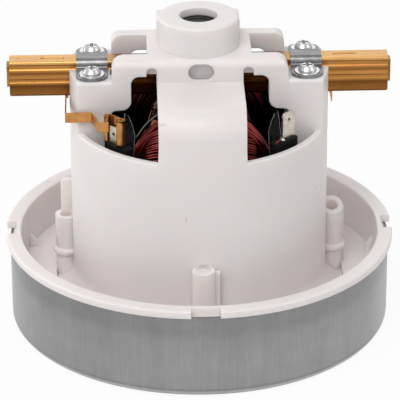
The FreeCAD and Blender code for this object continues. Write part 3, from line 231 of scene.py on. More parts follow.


# Materials. The tubes' painted light ramp runs over their whole height, the shell's over its lowest
# 26 mm.

SHELL_PAINTED_LIGHT_MM = 26
# Painted light on the shell by height: painted shade at the bottom edge, a painted highlight on the
# bend, painted shadow above towards the rim.
SHELL_PAINTED_LIGHT_BY_HEIGHT = ((0.0, 0.50), (0.035, 0.62), (0.055, 1.35), (0.085, 1.30), (0.11, 0.80),
                   (0.15, 1.02), (0.5, 1.06), (0.85, 1.0), (1.0, 0.86))
SHEETS_SCALE = 628  # bands half a millimetre high
TUBE_REACH = 0.040
# Painted shade on the tubes inwards, where they run into the motor.
TUBE_PAINTED_SHADE_NEAR_SHAFT = ((0.70, (0.16, 0.11, 0.10)), (0.86, (1.0, 1.0, 1.0)))
TUBE_LOW, TUBE_HEIGHT = 0.08967, 0.01345
# Painted light by height: a painted highlight along the top of each tube, painted shade in the
# grooves and on the lower part.
TUBE_PAINTED_LIGHT_BY_HEIGHT = ((0.0, (0.16, 0.06, 0.015)), (0.10, (0.24, 0.10, 0.025)),
               (0.24, (0.19, 0.075, 0.018)), (0.31, (0.15, 0.055, 0.012)),
               (0.36, (0.36, 0.165, 0.044)), (0.46, (0.43, 0.195, 0.052)),
               (0.58, (0.49, 0.225, 0.064)), (0.66, (0.22, 0.085, 0.020)),
               (0.72, (0.38, 0.168, 0.045)), (0.86, (0.44, 0.200, 0.055)),
               (0.94, (0.59, 0.335, 0.115)), (1.0, (0.62, 0.350, 0.120)))


def housing_plastic():
    s = Shader("housing_plastic", (0.80, 0.75, 0.735), 0.42, Specular_IOR_Level=0.45,
               Subsurface_Weight=0.6, Subsurface_Scale=0.004)
    s.set(s.bsdf, "Subsurface Radius", (1.0, 0.75, 0.65))
    cloudy = s.ramp(s.noise(24, 3, 0.6), (0.3, (0.785, 0.732, 0.718)),
                    (0.7, (0.815, 0.768, 0.755)))
    speck = s.ramp(s.noise(260, 1, 0.4), (0.19, 0.80), (0.235, 1.0))
    s.shade(s.product(cloudy, speck))
    s.gloss(s.noise(70, 3), 0.34, 0.50)
    s.relief(s.noise(1100, 2, 0.6), 0.00003, 0.4, edge=0.0004)
    return s


def shell_steel():
    """Zinc-plated sheet, drawn: fine upright streaks, with a painted highlight on the bend low
    down, painted shade along the bottom edge and painted shadow darker towards the rim.
    """
    s = Shader("shell_steel", (0.30, 0.30, 0.305), 0.34, 1.0)
    girth = s.around_axis(0.07, 0.03)
    streak = s.noise(1900, 3, 0.6, vector=girth)
    broad = s.noise(90, 3, vector=girth)
    spangle = s.noise(130, 3, 0.55)
    base = s.ramp(streak, (0.25, (0.272, 0.273, 0.276)), (0.75, (0.312, 0.312, 0.314)))
    height = s.math("MULTIPLY", s.split(s.position)[2], 1000 / SHELL_PAINTED_LIGHT_MM)
    s.shade(s.product(base, s.ramp(broad, (0.3, 0.95), (0.7, 1.04)),
                      s.ramp(spangle, (0.3, 0.94), (0.7, 1.05)), s.ramp(height, *SHELL_PAINTED_LIGHT_BY_HEIGHT)))
    s.gloss(spangle, 0.26, 0.40)
    s.relief(streak, 0.00002, 0.3)
    return s


def tube_brass():
    """Drawn brass with painted light: a painted highlight along the top, painted shade below and in
    the grooves, and painted shade inwards, inside the motor.
    """
    s = Shader("tube_brass", (0.66, 0.37, 0.12), 0.28, 1.0)
    x, y, z = s.split(s.position)
    grain = s.noise(420, 4, 0.65, vector=s.stretched(0.06, 1, 1))
    blotch = s.noise(60, 3, 0.6, vector=s.stretched(0.5, 1, 1))
    # Painted highlight and shade by height, and painted shade towards the shaft.
    height = s.math("DIVIDE", s.math("SUBTRACT", z, TUBE_LOW), TUBE_HEIGHT)
    outward_for_painted_shade = s.math("DIVIDE", s.math("ABSOLUTE", x), TUBE_REACH)
    s.shade(s.product(s.ramp(height, *TUBE_PAINTED_LIGHT_BY_HEIGHT), s.ramp(grain, (0.3, 0.86), (0.7, 1.12)),
                      s.ramp(blotch, (0.3, 0.88), (0.7, 1.10)), s.ramp(outward_for_painted_shade, *TUBE_PAINTED_SHADE_NEAR_SHAFT)))
    s.gloss(blotch, 0.20, 0.36)
    s.relief(grain, 0.00002, 0.5, edge=0.0003)
    return s


def metal(name, dark, light, rough_low, rough_high, scale=300, stretch=(1, 1, 1), depth=0.00002):
    s = Shader(name, light, rough_high, 1.0)
    grain = s.noise(scale, 3, 0.6, vector=s.stretched(*stretch))
    s.shade(s.ramp(grain, (0.3, dark), (0.7, light)))
    s.gloss(s.noise(scale * 0.4, 2), rough_low, rough_high)
    s.relief(grain, depth, 0.5, edge=0.00015)
    return s


def laminations(name, dark, light):
    s = Shader(name, light, 0.5, 0.8)
    sheets = s.sheets(SHEETS_SCALE)
    s.shade(s.ramp(sheets, (0.1, dark), (0.6, light)))
    s.relief(sheets, 0.00006, 0.8)
    return s


def enamelled_wire(name, dark, light, spread=260):
    s = Shader(name, light, 0.25, 0.95, Coat_Weight=0.35, Coat_Roughness=0.12)
    s.shade(s.ramp(s.noise(spread, 2), (0.3, dark), (0.7, light)))
    s.gloss(s.noise(spread * 2, 2), 0.16, 0.30)
    s.relief(s.noise(spread * 6, 2), 0.00003, 0.4)
    return s


def plastic(name, dark, light, rough=0.45, scale=250, specular=0.5):
    s = Shader(name, light, rough, Specular_IOR_Level=specular)
    s.shade(s.ramp(s.noise(scale, 3), (0.3, dark), (0.7, light)))
    s.gloss(s.noise(scale, 2), rough * 0.85, rough * 1.15)
    s.relief(s.noise(scale * 5, 2), 0.00003, 0.5, edge=0.0002)
    return s


def add_materials():
    dress(housing_plastic(), "motor_housing")
    dress(shell_steel(), "fan_shell")
    dress(tube_brass(), "brush_tube_left", "brush_tube_right")
    dress(metal("cap_brass", (0.20, 0.095, 0.03), (0.42, 0.23, 0.08), 0.26, 0.42, 260),
          "brush_cap_left", "brush_cap_right")
    lead = metal("lead_brass", (0.46, 0.20, 0.06), (0.62, 0.31, 0.10), 0.26, 0.40, 300)
    dress(lead, "brush_lead_left", "brush_lead_right")
    zinc = metal("strap_zinc", (0.165, 0.165, 0.17), (0.27, 0.27, 0.272), 0.22, 0.36, 260)
    dress(zinc, "brush_strap_left", "brush_strap_right")
    screw = metal("screw_zinc", (0.52, 0.52, 0.53), (0.70, 0.70, 0.71), 0.14, 0.26, 400)
    dress(screw, "strap_screws", "field_screws", "bracket_screws", "impeller_nut",
          "impeller_washer")
    dress(metal("tinned_brass", (0.48, 0.43, 0.34), (0.66, 0.62, 0.54), 0.22, 0.35, 400),
          "field_tabs")
    dress(metal("shaft_steel", (0.42, 0.42, 0.43), (0.52, 0.52, 0.53), 0.16, 0.28, 500,
                (1, 1, 0.1)), "rotor_shaft", "impeller_spacer")
    dress(metal("bearing_steel", (0.52, 0.53, 0.54), (0.62, 0.63, 0.64), 0.10, 0.20, 500),
          "lower_bearing_outer_ring", "lower_bearing_inner_ring", "lower_bearing_balls",
          "upper_bearing_outer_ring", "upper_bearing_inner_ring", "upper_bearing_balls")
    dress(metal("impeller_aluminium", (0.62, 0.63, 0.64), (0.72, 0.73, 0.74), 0.28, 0.40, 300),
          "impeller_back_disc", "impeller_blades", "impeller_shroud")
    dress(metal("cast_aluminium", (0.50, 0.50, 0.51), (0.60, 0.60, 0.61), 0.42, 0.58, 700,
                depth=0.00006), "bearing_bracket", "impeller_hub")
    dress(metal("commutator_copper", (0.50, 0.22, 0.11), (0.64, 0.32, 0.18), 0.22, 0.36, 300,
                (0.1, 0.1, 1)), "commutator")
    dress(laminations("stack_sheets", (0.05, 0.05, 0.055), (0.17, 0.17, 0.18)),
          "stator_core", "armature_core")
    dress(plastic("frame_black", (0.004, 0.004, 0.004), (0.010, 0.009, 0.009), 0.6, specular=0.12),
          "upper_insulator", "lower_insulator")
    dress(plastic("diffuser_black", (0.02, 0.02, 0.022), (0.035, 0.035, 0.037), 0.4),
          "diffuser_plate")
    dress(plastic("boot_rubber", (0.008, 0.008, 0.008), (0.018, 0.018, 0.018), 0.55),
          "upper_bearing_boot", "lower_bearing_seals", "upper_bearing_seals")
    dress(plastic("hub_compound", (0.05, 0.018, 0.01), (0.09, 0.035, 0.02), 0.35),
          "commutator_hub")
    dress(plastic("carbon", (0.012, 0.012, 0.013), (0.03, 0.03, 0.032), 0.5, 600),
          "carbon_brush_left", "carbon_brush_right")


# Pieces that are built here

def millimetres(x, y, z):
    return Vector((x, y, z)) * MM


def add_piece(name, body, shader, shape, replaces=()):
    """A smooth mesh piece from (vertices, faces) that rides on a body of the frame."""
    mesh = bpy.data.meshes.new(name)
    mesh.from_pydata(shape[0], [], shape[1])
    mesh.validate()
    mesh.shade_smooth()
    mesh.materials.append(shader.material)
    piece = bpy.data.objects.new(name, mesh)
    scene.collection.objects.link(piece)
    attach(piece, body)
    if replaces:
        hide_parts(*replaces)
    return piece


def together(shapes):
    """One shape from several, each of them (vertices, faces)."""
    verts, faces = [], []
    for some_verts, some_faces in shapes:
        start = len(verts)
        verts += some_verts
        faces += [tuple(start + i for i in face) for face in some_faces]
    return verts, faces


def wire(points, radius, sides=8):
    """Round wire along the points, closed at both ends."""
    verts, faces = [], []
    last = len(points) - 1
    normal = None
    for i, point in enumerate(points):
        way = (points[min(i + 1, last)] - points[max(i - 1, 0)]).normalized()
        if normal is None:
            normal = way.orthogonal()
        normal = (normal - way * normal.dot(way)).normalized()
        over = way.cross(normal)
        for k in range(sides):
            turn = 2 * math.pi * k / sides
            verts.append(point + (normal * math.cos(turn) + over * math.sin(turn)) * radius)
    for i in range(last):
        for k in range(sides):
            a = i * sides + k
            b = i * sides + (k + 1) % sides
            faces.append((a, b, b + sides, a + sides))
    faces.append(tuple(reversed(range(sides))))
    faces.append(tuple(last * sides + k for k in range(sides)))
    return verts, faces


def curve_through(points, steps):
    """Points of a smooth curve through the given ones."""
    line = []
    for i in range(len(points) - 1):
        a = points[max(i - 1, 0)]
        b, c = points[i], points[i + 1]
        d = points[min(i + 2, len(points) - 1)]
        for k in range(steps):
            t = k / steps
            line.append(0.5 * (2 * b + (c - a) * t + (2 * a - 5 * b + 4 * c - d) * t * t
                               + (3 * b - a - 3 * c + d) * t ** 3))
    line.append(points[-1])
    return line


def ring_faces(stations, count):
    """Quads between rings of points, each ring closed and the last joined to the first."""
    faces = []
    for i in range(stations):
        for k in range(count):
            a, b = i * count + k, i * count + (k + 1) % count
            c, d = (i + 1) % stations * count + (k + 1) % count, (i + 1) % stations * count + k
            faces.append((a, b, c, d))
    return faces


def traced(places, steps=6):
    """Smooth curve through places in millimetres."""
    return curve_through([millimetres(*place) for place in places], steps)


def half_turned(shape):
    """The same shape on the other side of the shaft."""
    return [Vector((-v.x, -v.y, v.z)) for v in shape[0]], shape[1]


# Field coils: an outer layer of wire, wound over a body of the same form. Millimetres. A power of
# 2 gives an elliptic outline and a higher one a squarer outline.

STACK_MIDDLE = 55.0
WIRE_RADIUS = 0.47
WIRE_PITCH = 1.27
INNER_HALF_WIDTH, INNER_HALF_HEIGHT = 17.6, 26.2
HOLE_HALF_WIDTH, HOLE_HALF_HEIGHT = 14.35, 17.35
FACE_REACH = 8.6
HEIGHT_GROWTH = 1.03
EDGE_RADIUS = 2.0
FRONT_Y = 28.05
BACK_Y = 21.05
LEG_HALF_WIDTH = 25.4
LEG_START, LEG_DEPTH = 0.62, 5.5
LOWEST_ROW = 19.0
BACK_POWER, RIM_POWER, FRONT_POWER = 2.2, 2.25, 2.3
SQUARING, SQUARING_POWER = 3.2, 0.6
STEPS_PER_QUARTER = 22
STRAYS = ((0.17, 2.31), (0.14, 0.83), (0.08, 5.1))
LIFT, LIFT_RATE = 0.07, 1.7
CROSSINGS = ((0.25, 1.75, 0.74, 2.6), (0.35, 1.60, 0.66, -2.2), (0.15, 1.4, 0.84, -2.4),
             (2.2, 3.8, 0.75, 2.2), (0.5, 1.95, 0.58, 1.6))
CROSSING_STEPS = 48
BODY_INSET = 0.15
RING_STATIONS = 96


def rounded(half_width, half_height, power, quarters):
    """Place on a rounded outline after some quarter turns from its right side."""
    turn = math.pi / 2 * quarters
    x, z = math.cos(turn), math.sin(turn)
    return (math.copysign(half_width * abs(x) ** (2 / power), x),
            math.copysign(half_height * abs(z) ** (2 / power), z))


def coil_row(run):
    """Half width, half height, squareness, y and share of the front face of the row at this run."""
    arc = EDGE_RADIUS * math.pi / 2
    rim = FRONT_Y - BACK_Y - 2 * EDGE_RADIUS
    widest = INNER_HALF_WIDTH + FACE_REACH
    tallest = INNER_HALF_HEIGHT + FACE_REACH * HEIGHT_GROWTH
    if run < FACE_REACH:
        return (INNER_HALF_WIDTH + run, INNER_HALF_HEIGHT + run * HEIGHT_GROWTH, BACK_POWER,
                BACK_Y, 0)
    run -= FACE_REACH
    if run < arc:
        turn = run / EDGE_RADIUS
        out = EDGE_RADIUS * math.sin(turn)
        y = BACK_Y + EDGE_RADIUS * (1 - math.cos(turn))
        return widest + out, tallest + out, RIM_POWER, y, 0
    run -= arc
    if run < rim:
        return (widest + EDGE_RADIUS, tallest + EDGE_RADIUS, RIM_POWER,
                BACK_Y + EDGE_RADIUS + run, 0)
    run -= rim
    if run < arc:
        turn = run / EDGE_RADIUS
        out = EDGE_RADIUS * math.cos(turn)
        y = FRONT_Y - EDGE_RADIUS * (1 - math.sin(turn))
        return widest + out, tallest + out, FRONT_POWER, y, 0
    share = (run - arc) / (tallest - LOWEST_ROW)
    return (widest + (LEG_HALF_WIDTH - widest) * share, tallest + (LOWEST_ROW - tallest) * share,
            FRONT_POWER + SQUARING * share ** SQUARING_POWER, FRONT_Y, share)


def layer_length():
    tallest = INNER_HALF_HEIGHT + FACE_REACH * HEIGHT_GROWTH
    return (FACE_REACH + EDGE_RADIUS * math.pi + FRONT_Y - BACK_Y - 2 * EDGE_RADIUS
            + tallest - LOWEST_ROW)


def strand_point(run, quarters, lift):
    """On the front face the wires spread over the end of the stack and gather in the legs."""
    a, b, power, y, share = coil_row(run)
    x, z = rounded(a + lift, b + lift, power, quarters)
    leg = max(0, abs(x) / LEG_HALF_WIDTH - LEG_START) / (1 - LEG_START)
    leg *= 1 if abs(z) < b * 0.93 else 0.6
    return millimetres(x, -(y - LEG_DEPTH * share * min(leg, 1) ** 2), STACK_MIDDLE + z)


def coil_strands():
    """One wire in about 27 loops that lie side by side, none of them quite true."""
    length = layer_length()
    phases = [random.uniform(0, 6.28) for _ in range(6)]
    points = []
    for i in range(int(length / WIRE_PITCH * 4 * STEPS_PER_QUARTER) + 1):
        quarters = i / STEPS_PER_QUARTER
        stray = sum(size * math.sin(quarters * rate + phase)
                    for (size, rate), phase in zip(STRAYS, phases))
        run = min(max(quarters / 4 * WIRE_PITCH + stray, 0), length)
        lift = LIFT * math.sin(quarters * LIFT_RATE + phases[3]) - LIFT
        points.append(strand_point(run, quarters, lift))
    return wire(points, WIRE_RADIUS * MM, 8)


def crossing_strands():
    """A few loops that run askew over their neighbours, as in a coil wound by machine.

    Each has its first and last quarter turn, its share of the layer and its drift along it."""
    shapes = []
    length = layer_length()
    for low, high, run, drift in CROSSINGS:
        points = []
        for i in range(CROSSING_STEPS + 1):
            share = i / CROSSING_STEPS
            lift = 0.30 * math.sin(math.pi * share) ** 0.4 - 0.2
            place = strand_point(length * run + drift * (share - 0.5),
                                 low + (high - low) * share, 0)
            place.y -= lift * MM
            points.append(place)
        shapes.append(wire(points, WIRE_RADIUS * MM, 8))
    return shapes


def coil_body():
    """The turns under the outer layer, from the square hole to just under the wire."""
    inset = WIRE_RADIUS + BODY_INSET
    back, front = -(BACK_Y + 0.1), -(FRONT_Y - inset)
    section = [(0, back), (0.93, back), (0.985, back - 0.6), (1, back - 1.6), (1, front + 1.6),
               (0.985, front + 0.6), (0.93, front), (0, front)]
    outer = FACE_REACH + EDGE_RADIUS - inset
    verts = []
    for i in range(RING_STATIONS):
        x, z = rounded(INNER_HALF_WIDTH + outer, INNER_HALF_HEIGHT + outer * HEIGHT_GROWTH,
                       RIM_POWER, 4 * i / RING_STATIONS)
        inner = min(HOLE_HALF_WIDTH / max(abs(x), 1e-6), HOLE_HALF_HEIGHT / max(abs(z), 1e-6))
        for share, y in section:
            scale = inner + (1 - inner) * share
            verts.append(millimetres(x * scale, y, STACK_MIDDLE + z * scale))
    return verts, ring_faces(RING_STATIONS, len(section))


def add_coils():
    strand_wire = enamelled_wire("coil_wire", (0.10, 0.005, 0.004), (0.36, 0.048, 0.036), 150)
    # The body under the strands is the same enamelled wire drawn about ten times darker: painted
    # shade in the gaps between the strands.
    under = enamelled_wire("coil_body", (0.010, 0.002, 0.002), (0.035, 0.004, 0.003), 400)
    strands = together([coil_strands()] + crossing_strands())
    body = coil_body()
    for side, turn in (("front", lambda shape: shape), ("back", half_turned)):
        add_piece("coil_strands_" + side, "stator", strand_wire, turn(strands),
                  ["field_winding_" + side])
        add_piece("coil_turns_" + side, "stator", under, turn(body),
                  ["field_coil_" + side])


# Armature winding: end turns, bundles in the slots and ends to the commutator. Millimetres.

SLOT_COUNT = 12
SLOT_SPAN = 5
SLOT_PITCH = 16.4
STACK_LOW, STACK_HIGH = 38.0, 72.0
BAR_COUNT = 24
STRANDS_PER_SLOT = 9
BUNDLE_RADIUS, BUNDLE_WIRE_RADIUS = 1.63, 0.82
END_TURN_RADIUS, LEAD_OUT_RADIUS = 0.32, 0.3
END_TURN_PROFILE = ((7.2, 0.1), (19.1, 0.1), (18.7, 1.5), (17.0, 7.5), (15.2, 10.6), (11.5, 11.6),
                    (7.2, 11.6))


def spun_shape(profile):
    """Closed (radius, height) outline turned about the shaft."""
    verts = []
    for i in range(RING_STATIONS):
        angle = 2 * math.pi * i / RING_STATIONS
        for radius, z in profile:
            verts.append(millimetres(radius * math.cos(angle), radius * math.sin(angle), z))
    return verts, [(a, d, c, b) for a, b, c, d in ring_faces(RING_STATIONS, len(profile))]


def round_shaft(places):
    """Places given as (radius, angle, height)."""
    return [millimetres(radius * math.cos(angle), radius * math.sin(angle), z)
            for radius, angle, z in places]


def end_turn_strand(slot, strand, base, rise):
    """Wire from one slot over the end of the stack, past the shaft and down to another slot."""
    start = 2 * math.pi * slot / SLOT_COUNT + (strand % 3 - 1) * 0.07
    span = 2 * math.pi * SLOT_SPAN / SLOT_COUNT
    outer = 19.3 - 0.75 * (strand // 3) - random.uniform(0, 0.25)
    near_shaft = 8.3 + 0.85 * (strand % 5) + random.uniform(-0.2, 0.2)
    top = rise * (11.6 + 0.25 * (strand // 3) + random.uniform(0, 0.5))
    climb = [(0, outer - 0.6, -0.02), (0.02, outer, 0.14), (0.06, outer - 0.8, 0.50),
             (0.13, outer - 2.2, 0.84), (0.26, (outer + near_shaft) / 2, 0.99)]
    descent = [(1 - share, radius, height) for share, radius, height in reversed(climb)]
    path = climb + [(0.5, near_shaft, 1.06)] + descent
    points = round_shaft([(radius, start + span * share, base + top * height)
                          for share, radius, height in path])
    return wire(curve_through(points, 4), END_TURN_RADIUS * MM, 6)


def add_armature_winding():
    varnished = enamelled_wire("armature_wire", (0.13, 0.028, 0.014), (0.30, 0.075, 0.035), 500)
    varnished.set(varnished.bsdf, "Coat Weight", 1.0)
    shapes = []
    for base, rise in ((STACK_HIGH, 1.0), (STACK_LOW, -0.95)):
        shapes.append(spun_shape([(radius, base + rise * z) for radius, z in END_TURN_PROFILE]))
        for slot in range(SLOT_COUNT):
            shapes += [end_turn_strand(slot, strand, base, rise)
                       for strand in range(STRANDS_PER_SLOT)]
    for slot in range(SLOT_COUNT):
        angle = 2 * math.pi * slot / SLOT_COUNT
        middle = Vector((math.cos(angle), math.sin(angle), 0)) * SLOT_PITCH
        for strand in range(7):
            turn = math.pi / 3 * strand
            offset = Vector((math.cos(turn), math.sin(turn), 0)) * BUNDLE_RADIUS
            place = middle + offset if strand < 6 else middle
            shapes.append(wire([millimetres(place.x, place.y, STACK_LOW - 0.8),
                                millimetres(place.x, place.y, STACK_HIGH + 0.8)],
                               BUNDLE_WIRE_RADIUS * MM, 8))
    for bar in range(BAR_COUNT):
        angle = 2 * math.pi * (bar + 0.5) / BAR_COUNT
        for lean in (-0.10, 0.10):
            low, high = angle + lean + 0.12, angle + lean * 0.2
            points = round_shaft([(15.2, low + 0.15, 80.5), (14.6, low, 84.0),
                                  (13.2, (low + high) / 2, 86.0), (12.0, high, 88.1)])
            shapes.append(wire(curve_through(points, 4), LEAD_OUT_RADIUS * MM, 6))
    add_piece("armature_end_turns", "rotor", varnished, together(shapes),
              ["armature_winding"])


# Brush springs, wound along the length of the parts they replace. Metres.

SPRING_TURNS = 8
SPRING_STATIONS = 24
SPRING_WIRE_RADIUS = 0.0003


def add_brush_springs():
    steel = metal("coil_spring", (0.30, 0.30, 0.31), (0.48, 0.48, 0.49), 0.18, 0.30, 500)
    low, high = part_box("brush_spring_right")
    radius = (high[1] - low[1]) / 2 - SPRING_WIRE_RADIUS
    middle_z = (low[2] + high[2]) / 2
    start, length = low[0] + SPRING_WIRE_RADIUS, high[0] - low[0] - 2 * SPRING_WIRE_RADIUS
    steps = SPRING_TURNS * SPRING_STATIONS
    points = []
    for i in range(steps + 1):
        turn = 2 * math.pi * SPRING_TURNS * i / steps
        points.append(Vector((start + length * i / steps, radius * math.sin(turn),
                              middle_z - radius * math.cos(turn))))
    spring = wire(points, SPRING_WIRE_RADIUS)
    for side, shape, sign in (("right", spring, 1), ("left", half_turned(spring), -1)):
        piece = add_piece("brush_coil_" + side, "stator", steel, shape,
                          ["brush_spring_" + side])
        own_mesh(piece)


# Small things in the windows. Millimetres.

FILM_ROWS, FILM_COLUMNS = 14, 8
FILM_LEFT = ((24.7, 74.4), (24.3, 79.5), (23.9, 85.6), (24.9, 89.6), (26.1, 92.6))
FILM_RIGHT = ((28.7, 74.4), (28.6, 79.5), (28.4, 84.2), (27.9, 89.0), (27.3, 92.8))
FILM_Y = -30.4
FILM_EDGE_RADIUS = 0.13
ROLL_AROUND, ROLL_ROWS, ROLL_SHEET = 30, 12, 0.4
ROLL_LOW, ROLL_HEIGHT, ROLL_HALF_DISTANCE = 80.45, 10.0, 3.1
ROLL_FLARE, ROLL_TIGHTENING = 0.16, 0.22
RECEPTACLE_X, RECEPTACLE_Y, RECEPTACLE_SLANT = -31.19, -25.99, -45
DROP_PLACE, DROP_RADIUS, DROP_FLATNESS = (28.9, -28.9, 82.0), 0.95, 0.75
DROP_RINGS, DROP_AROUND = 6, 12
TAIL = ((23.6, -28.9, 76.5), (25.0, -30.6, 79.5), (27.0, -31.0, 81.9), (28.9, -29.2, 82.3))
TAIL_RADIUS = 0.27
SLEEVED_LEAD = ((-23.4, -27.0, 83.0), (-19.9, -27.8, 88.4), (-15.9, -27.9, 91.9),
                (-11.0, -26.5, 93.6))
SLEEVE_RADIUS = 0.25


def along(line, share):
    """Place at this share of a line of (x, z) points, counted by its points."""
    place = share * (len(line) - 1)
    i = min(int(place), len(line) - 2)
    t = place - i
    return (line[i][0] + (line[i + 1][0] - line[i][0]) * t,
            line[i][1] + (line[i + 1][1] - line[i][1]) * t)


def film_sheet(side):
    """Clear insulating film that stands between a coil's shoulder and its terminal post."""
    verts, faces = [], []
    for row in range(FILM_ROWS + 1):
        share = row / FILM_ROWS
        x0, z0 = along(FILM_LEFT, share)
        x1, z1 = along(FILM_RIGHT, share)
        for column in range(FILM_COLUMNS + 1):
            across = column / FILM_COLUMNS
            bulge = 0.9 * math.sin(math.pi * across) * (0.4 + 0.6 * share)
            verts.append(millimetres(side * (x0 + (x1 - x0) * across),
                                     FILM_Y + 1.9 * across + bulge + 0.7 * share,
                                     z0 + (z1 - z0) * across))
    for row in range(FILM_ROWS):
        for column in range(FILM_COLUMNS):
            a = row * (FILM_COLUMNS + 1) + column
            faces.append((a, a + 1, a + FILM_COLUMNS + 2, a + FILM_COLUMNS + 1))
    return verts, faces


def film_edge_highlights(sheet):
    """Cut edges of a film as thin wires of a lighter, less clear grey: a painted highlight along
    the edges.
    """
    row = FILM_COLUMNS + 1
    edges = sheet[0][::row], sheet[0][FILM_COLUMNS::row]
    return together([wire(edge, FILM_EDGE_RADIUS * MM, 6) for edge in edges])


def curl(side, turn_from, turn_to, radius):
    """Rolled edge of a push-on receptacle, made with its width along X and the shaft at +Y."""
    verts, faces = [], []
    for row in range(ROLL_ROWS + 1):
        share = row / ROLL_ROWS
        z = ROLL_LOW + ROLL_HEIGHT * share
        flare = ROLL_FLARE * max(0, abs(2 * share - 1) - 0.8) / 0.2
        for k in range(ROLL_AROUND + 1):
            turn = math.radians(turn_from + (turn_to - turn_from) * k / ROLL_AROUND)
            middle = radius + flare - ROLL_TIGHTENING * k / ROLL_AROUND
            for at in (middle + ROLL_SHEET / 2, middle - ROLL_SHEET / 2):
                verts.append(Vector((side * (ROLL_HALF_DISTANCE + at * math.cos(turn)),
                                     at * math.sin(turn), z)))
    line = 2 * (ROLL_AROUND + 1)
    for row in range(ROLL_ROWS):
        for k in range(ROLL_AROUND):
            a = row * line + 2 * k
            faces.append((a, a + 2, a + line + 2, a + line))
            faces.append((a + 1, a + line + 1, a + line + 3, a + 3))
        for k in (0, 2 * ROLL_AROUND):
            a = row * line + k
            faces.append((a, a + line, a + line + 1, a + 1))
    for start in (0, ROLL_ROWS * line):
        for k in range(ROLL_AROUND):
            a = start + 2 * k
            faces.append((a, a + 1, a + 3, a + 2))
    slant = math.radians(RECEPTACLE_SLANT)
    turned = [millimetres(RECEPTACLE_X + v.x * math.cos(slant) - v.y * math.sin(slant),
                          RECEPTACLE_Y + v.x * math.sin(slant) + v.y * math.cos(slant), v.z)
              for v in verts]
    return turned, faces


def lump(x, y, z, radius, flatness):
    """Small drop of solder, uneven all round."""
    verts, faces = [], []
    phase = random.uniform(0, 6)
    for i in range(DROP_RINGS + 1):
        tilt = math.pi * i / DROP_RINGS
        for k in range(DROP_AROUND):
            turn = 2 * math.pi * k / DROP_AROUND
            wobble = (1 + 0.16 * math.sin(3 * turn + phase) * math.sin(tilt)
                      + 0.1 * math.cos(2 * tilt + phase))
            verts.append(millimetres(x + radius * wobble * math.sin(tilt) * math.cos(turn),
                                     y + radius * wobble * math.sin(tilt) * math.sin(turn),
                                     z + radius * flatness * math.cos(tilt)))
    for i in range(DROP_RINGS):
        for k in range(DROP_AROUND):
            a, b = i * DROP_AROUND + k, i * DROP_AROUND + (k + 1) % DROP_AROUND
            faces.append((a, a + DROP_AROUND, b + DROP_AROUND, b))
    return verts, faces


def add_pairs(name, shader, shapes):
    """A piece of shapes at the front and the same at the back."""
    add_piece(name, "stator", shader,
              together(shapes + [half_turned(shape) for shape in shapes]))


def add_window_details():
    film = Shader("clear_film", (0.05, 0.055, 0.06), 0.14, Alpha=0.14, Coat_Weight=0.2)
    # A lighter, more opaque grey than the film: painted highlight on the film's edges.
    edge = Shader("film_edge_highlight", (0.26, 0.28, 0.30), 0.2, Alpha=0.40)
    edge.gloss(edge.noise(300, 2), 0.12, 0.3)
    film.gloss(film.noise(120, 2), 0.10, 0.24)
    film.relief(film.noise(90, 2), 0.0004, 0.6)
    solder = metal("solder", (0.62, 0.62, 0.61), (0.80, 0.80, 0.79), 0.18, 0.30, 500)
    sleeve = plastic("lead_sleeve", (0.05, 0.085, 0.065), (0.16, 0.20, 0.17), 0.4)
    tail = enamelled_wire("coil_tail", (0.10, 0.010, 0.006), (0.30, 0.035, 0.02))
    brass = metal("receptacle_brass", (0.42, 0.19, 0.055), (0.60, 0.30, 0.095), 0.24, 0.36, 300)
    sheets = [film_sheet(1), film_sheet(-1)]
    add_pairs("insulating_films", film, sheets)
    add_pairs("film_edge_highlights", edge, [film_edge_highlights(sheet) for sheet in sheets])
    add_pairs("receptacle_rolls", brass,
              [curl(1, 100, -185, 1.50), curl(-1, 100, -120, 1.34)])
    add_pairs("solder_drops", solder,
              [lump(*DROP_PLACE, DROP_RADIUS, DROP_FLATNESS)])
    add_pairs("coil_tails", tail, [wire(traced(TAIL), TAIL_RADIUS * MM)])
    add_pairs("sleeved_leads", sleeve,
              [wire(traced(SLEEVED_LEAD), SLEEVE_RADIUS * MM)])


# Ground, world and lamps

GROUND_HALF_SIZE = 6.0
GROUND_LEVEL = -0.0001
GROUND_WHITE = (0.86, 0.86, 0.86, 1)
GROUND_GLOW = 0.93
AMBIENT = 0.62
AIM = Vector((0, 0, 0.05))
LAMPS = (("key", (-0.30, -0.75, 1.15), 0.8, 9.0),
         ("left_back", (-1.0, 0.40, 0.20), 0.5, 3.6),
         ("right", (1.0, -0.25, 0.7), 0.6, 1.2),
         ("back", (0.1, 1.1, 0.9), 0.8, 1.4))


def white_rays(tree):
    """One for the rays that see plain white: the camera's, mirrored ones and those through film."""
    path = tree.nodes.new("ShaderNodeLightPath")
    mirrored = math_node(tree, "MAXIMUM", path.outputs["Is Glossy Ray"],
                         path.outputs["Is Transmission Ray"])
    return math_node(tree, "MAXIMUM", path.outputs["Is Camera Ray"], mirrored)


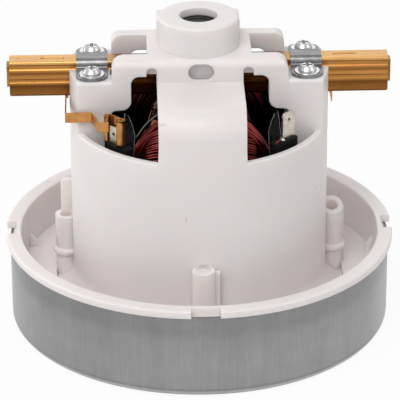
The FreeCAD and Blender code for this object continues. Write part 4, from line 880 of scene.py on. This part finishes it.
def mix_to_output(tree, kind, factor, first, second):
    """Send the mix of two shaders to the output node of this kind."""
    mix = tree.nodes.new("ShaderNodeMixShader")
    tree.links.new(factor, mix.inputs[0])
    tree.links.new(first.outputs[0], mix.inputs[1])
    tree.links.new(second.outputs[0], mix.inputs[2])
    tree.links.new(mix.outputs[0], tree.nodes.new(kind).inputs["Surface"])


def add_ground():
    """White floor: it glows for the camera and in reflections, and still takes the shadow."""
    size = GROUND_HALF_SIZE
    mesh = bpy.data.meshes.new("ground")
    mesh.from_pydata([(-size, -size, 0), (size, -size, 0), (size, size, 0), (-size, size, 0)],
                     [], [(0, 1, 2, 3)])
    ground = bpy.data.objects.new("ground", mesh)
    scene.collection.objects.link(ground)
    ground.location.z = GROUND_LEVEL
    material = bpy.data.materials.new("ground_white")
    material.use_nodes = True
    tree = material.node_tree
    tree.nodes.clear()
    diffuse = tree.nodes.new("ShaderNodeBsdfDiffuse")
    diffuse.inputs["Color"].default_value = GROUND_WHITE
    glow = tree.nodes.new("ShaderNodeEmission")
    glow.inputs["Strength"].default_value = 1.0
    mix_to_output(tree, "ShaderNodeOutputMaterial",
                  math_node(tree, "MULTIPLY", white_rays(tree), GROUND_GLOW), diffuse, glow)
    mesh.materials.append(material)


def add_world():
    """White for the camera and in reflections; a lower level of the same white as light."""
    world = bpy.data.worlds.new("studio")
    scene.world = world
    world.use_nodes = True
    tree = world.node_tree
    tree.nodes.clear()
    studio = tree.nodes.new("ShaderNodeBackground")
    studio.inputs["Strength"].default_value = AMBIENT
    white = tree.nodes.new("ShaderNodeBackground")
    white.inputs["Strength"].default_value = 1.0
    mix_to_output(tree, "ShaderNodeOutputWorld", white_rays(tree), studio, white)


def add_lamp(name, place, size, power):
    data = bpy.data.lights.new(name, "AREA")
    data.shape = "SQUARE"
    data.size = size
    data.energy = power
    lamp = bpy.data.objects.new(name, data)
    scene.collection.objects.link(lamp)
    lamp.location = place
    lamp.rotation_euler = (AIM - lamp.location).to_track_quat("-Z", "Y").to_euler()


def add_light():
    add_world()
    for lamp in LAMPS:
        add_lamp(*lamp)


add_camera()
add_materials()
add_coils()
add_armature_winding()
add_brush_springs()
add_window_details()
add_ground()
add_light()

scene.view_settings.view_transform = "Standard"
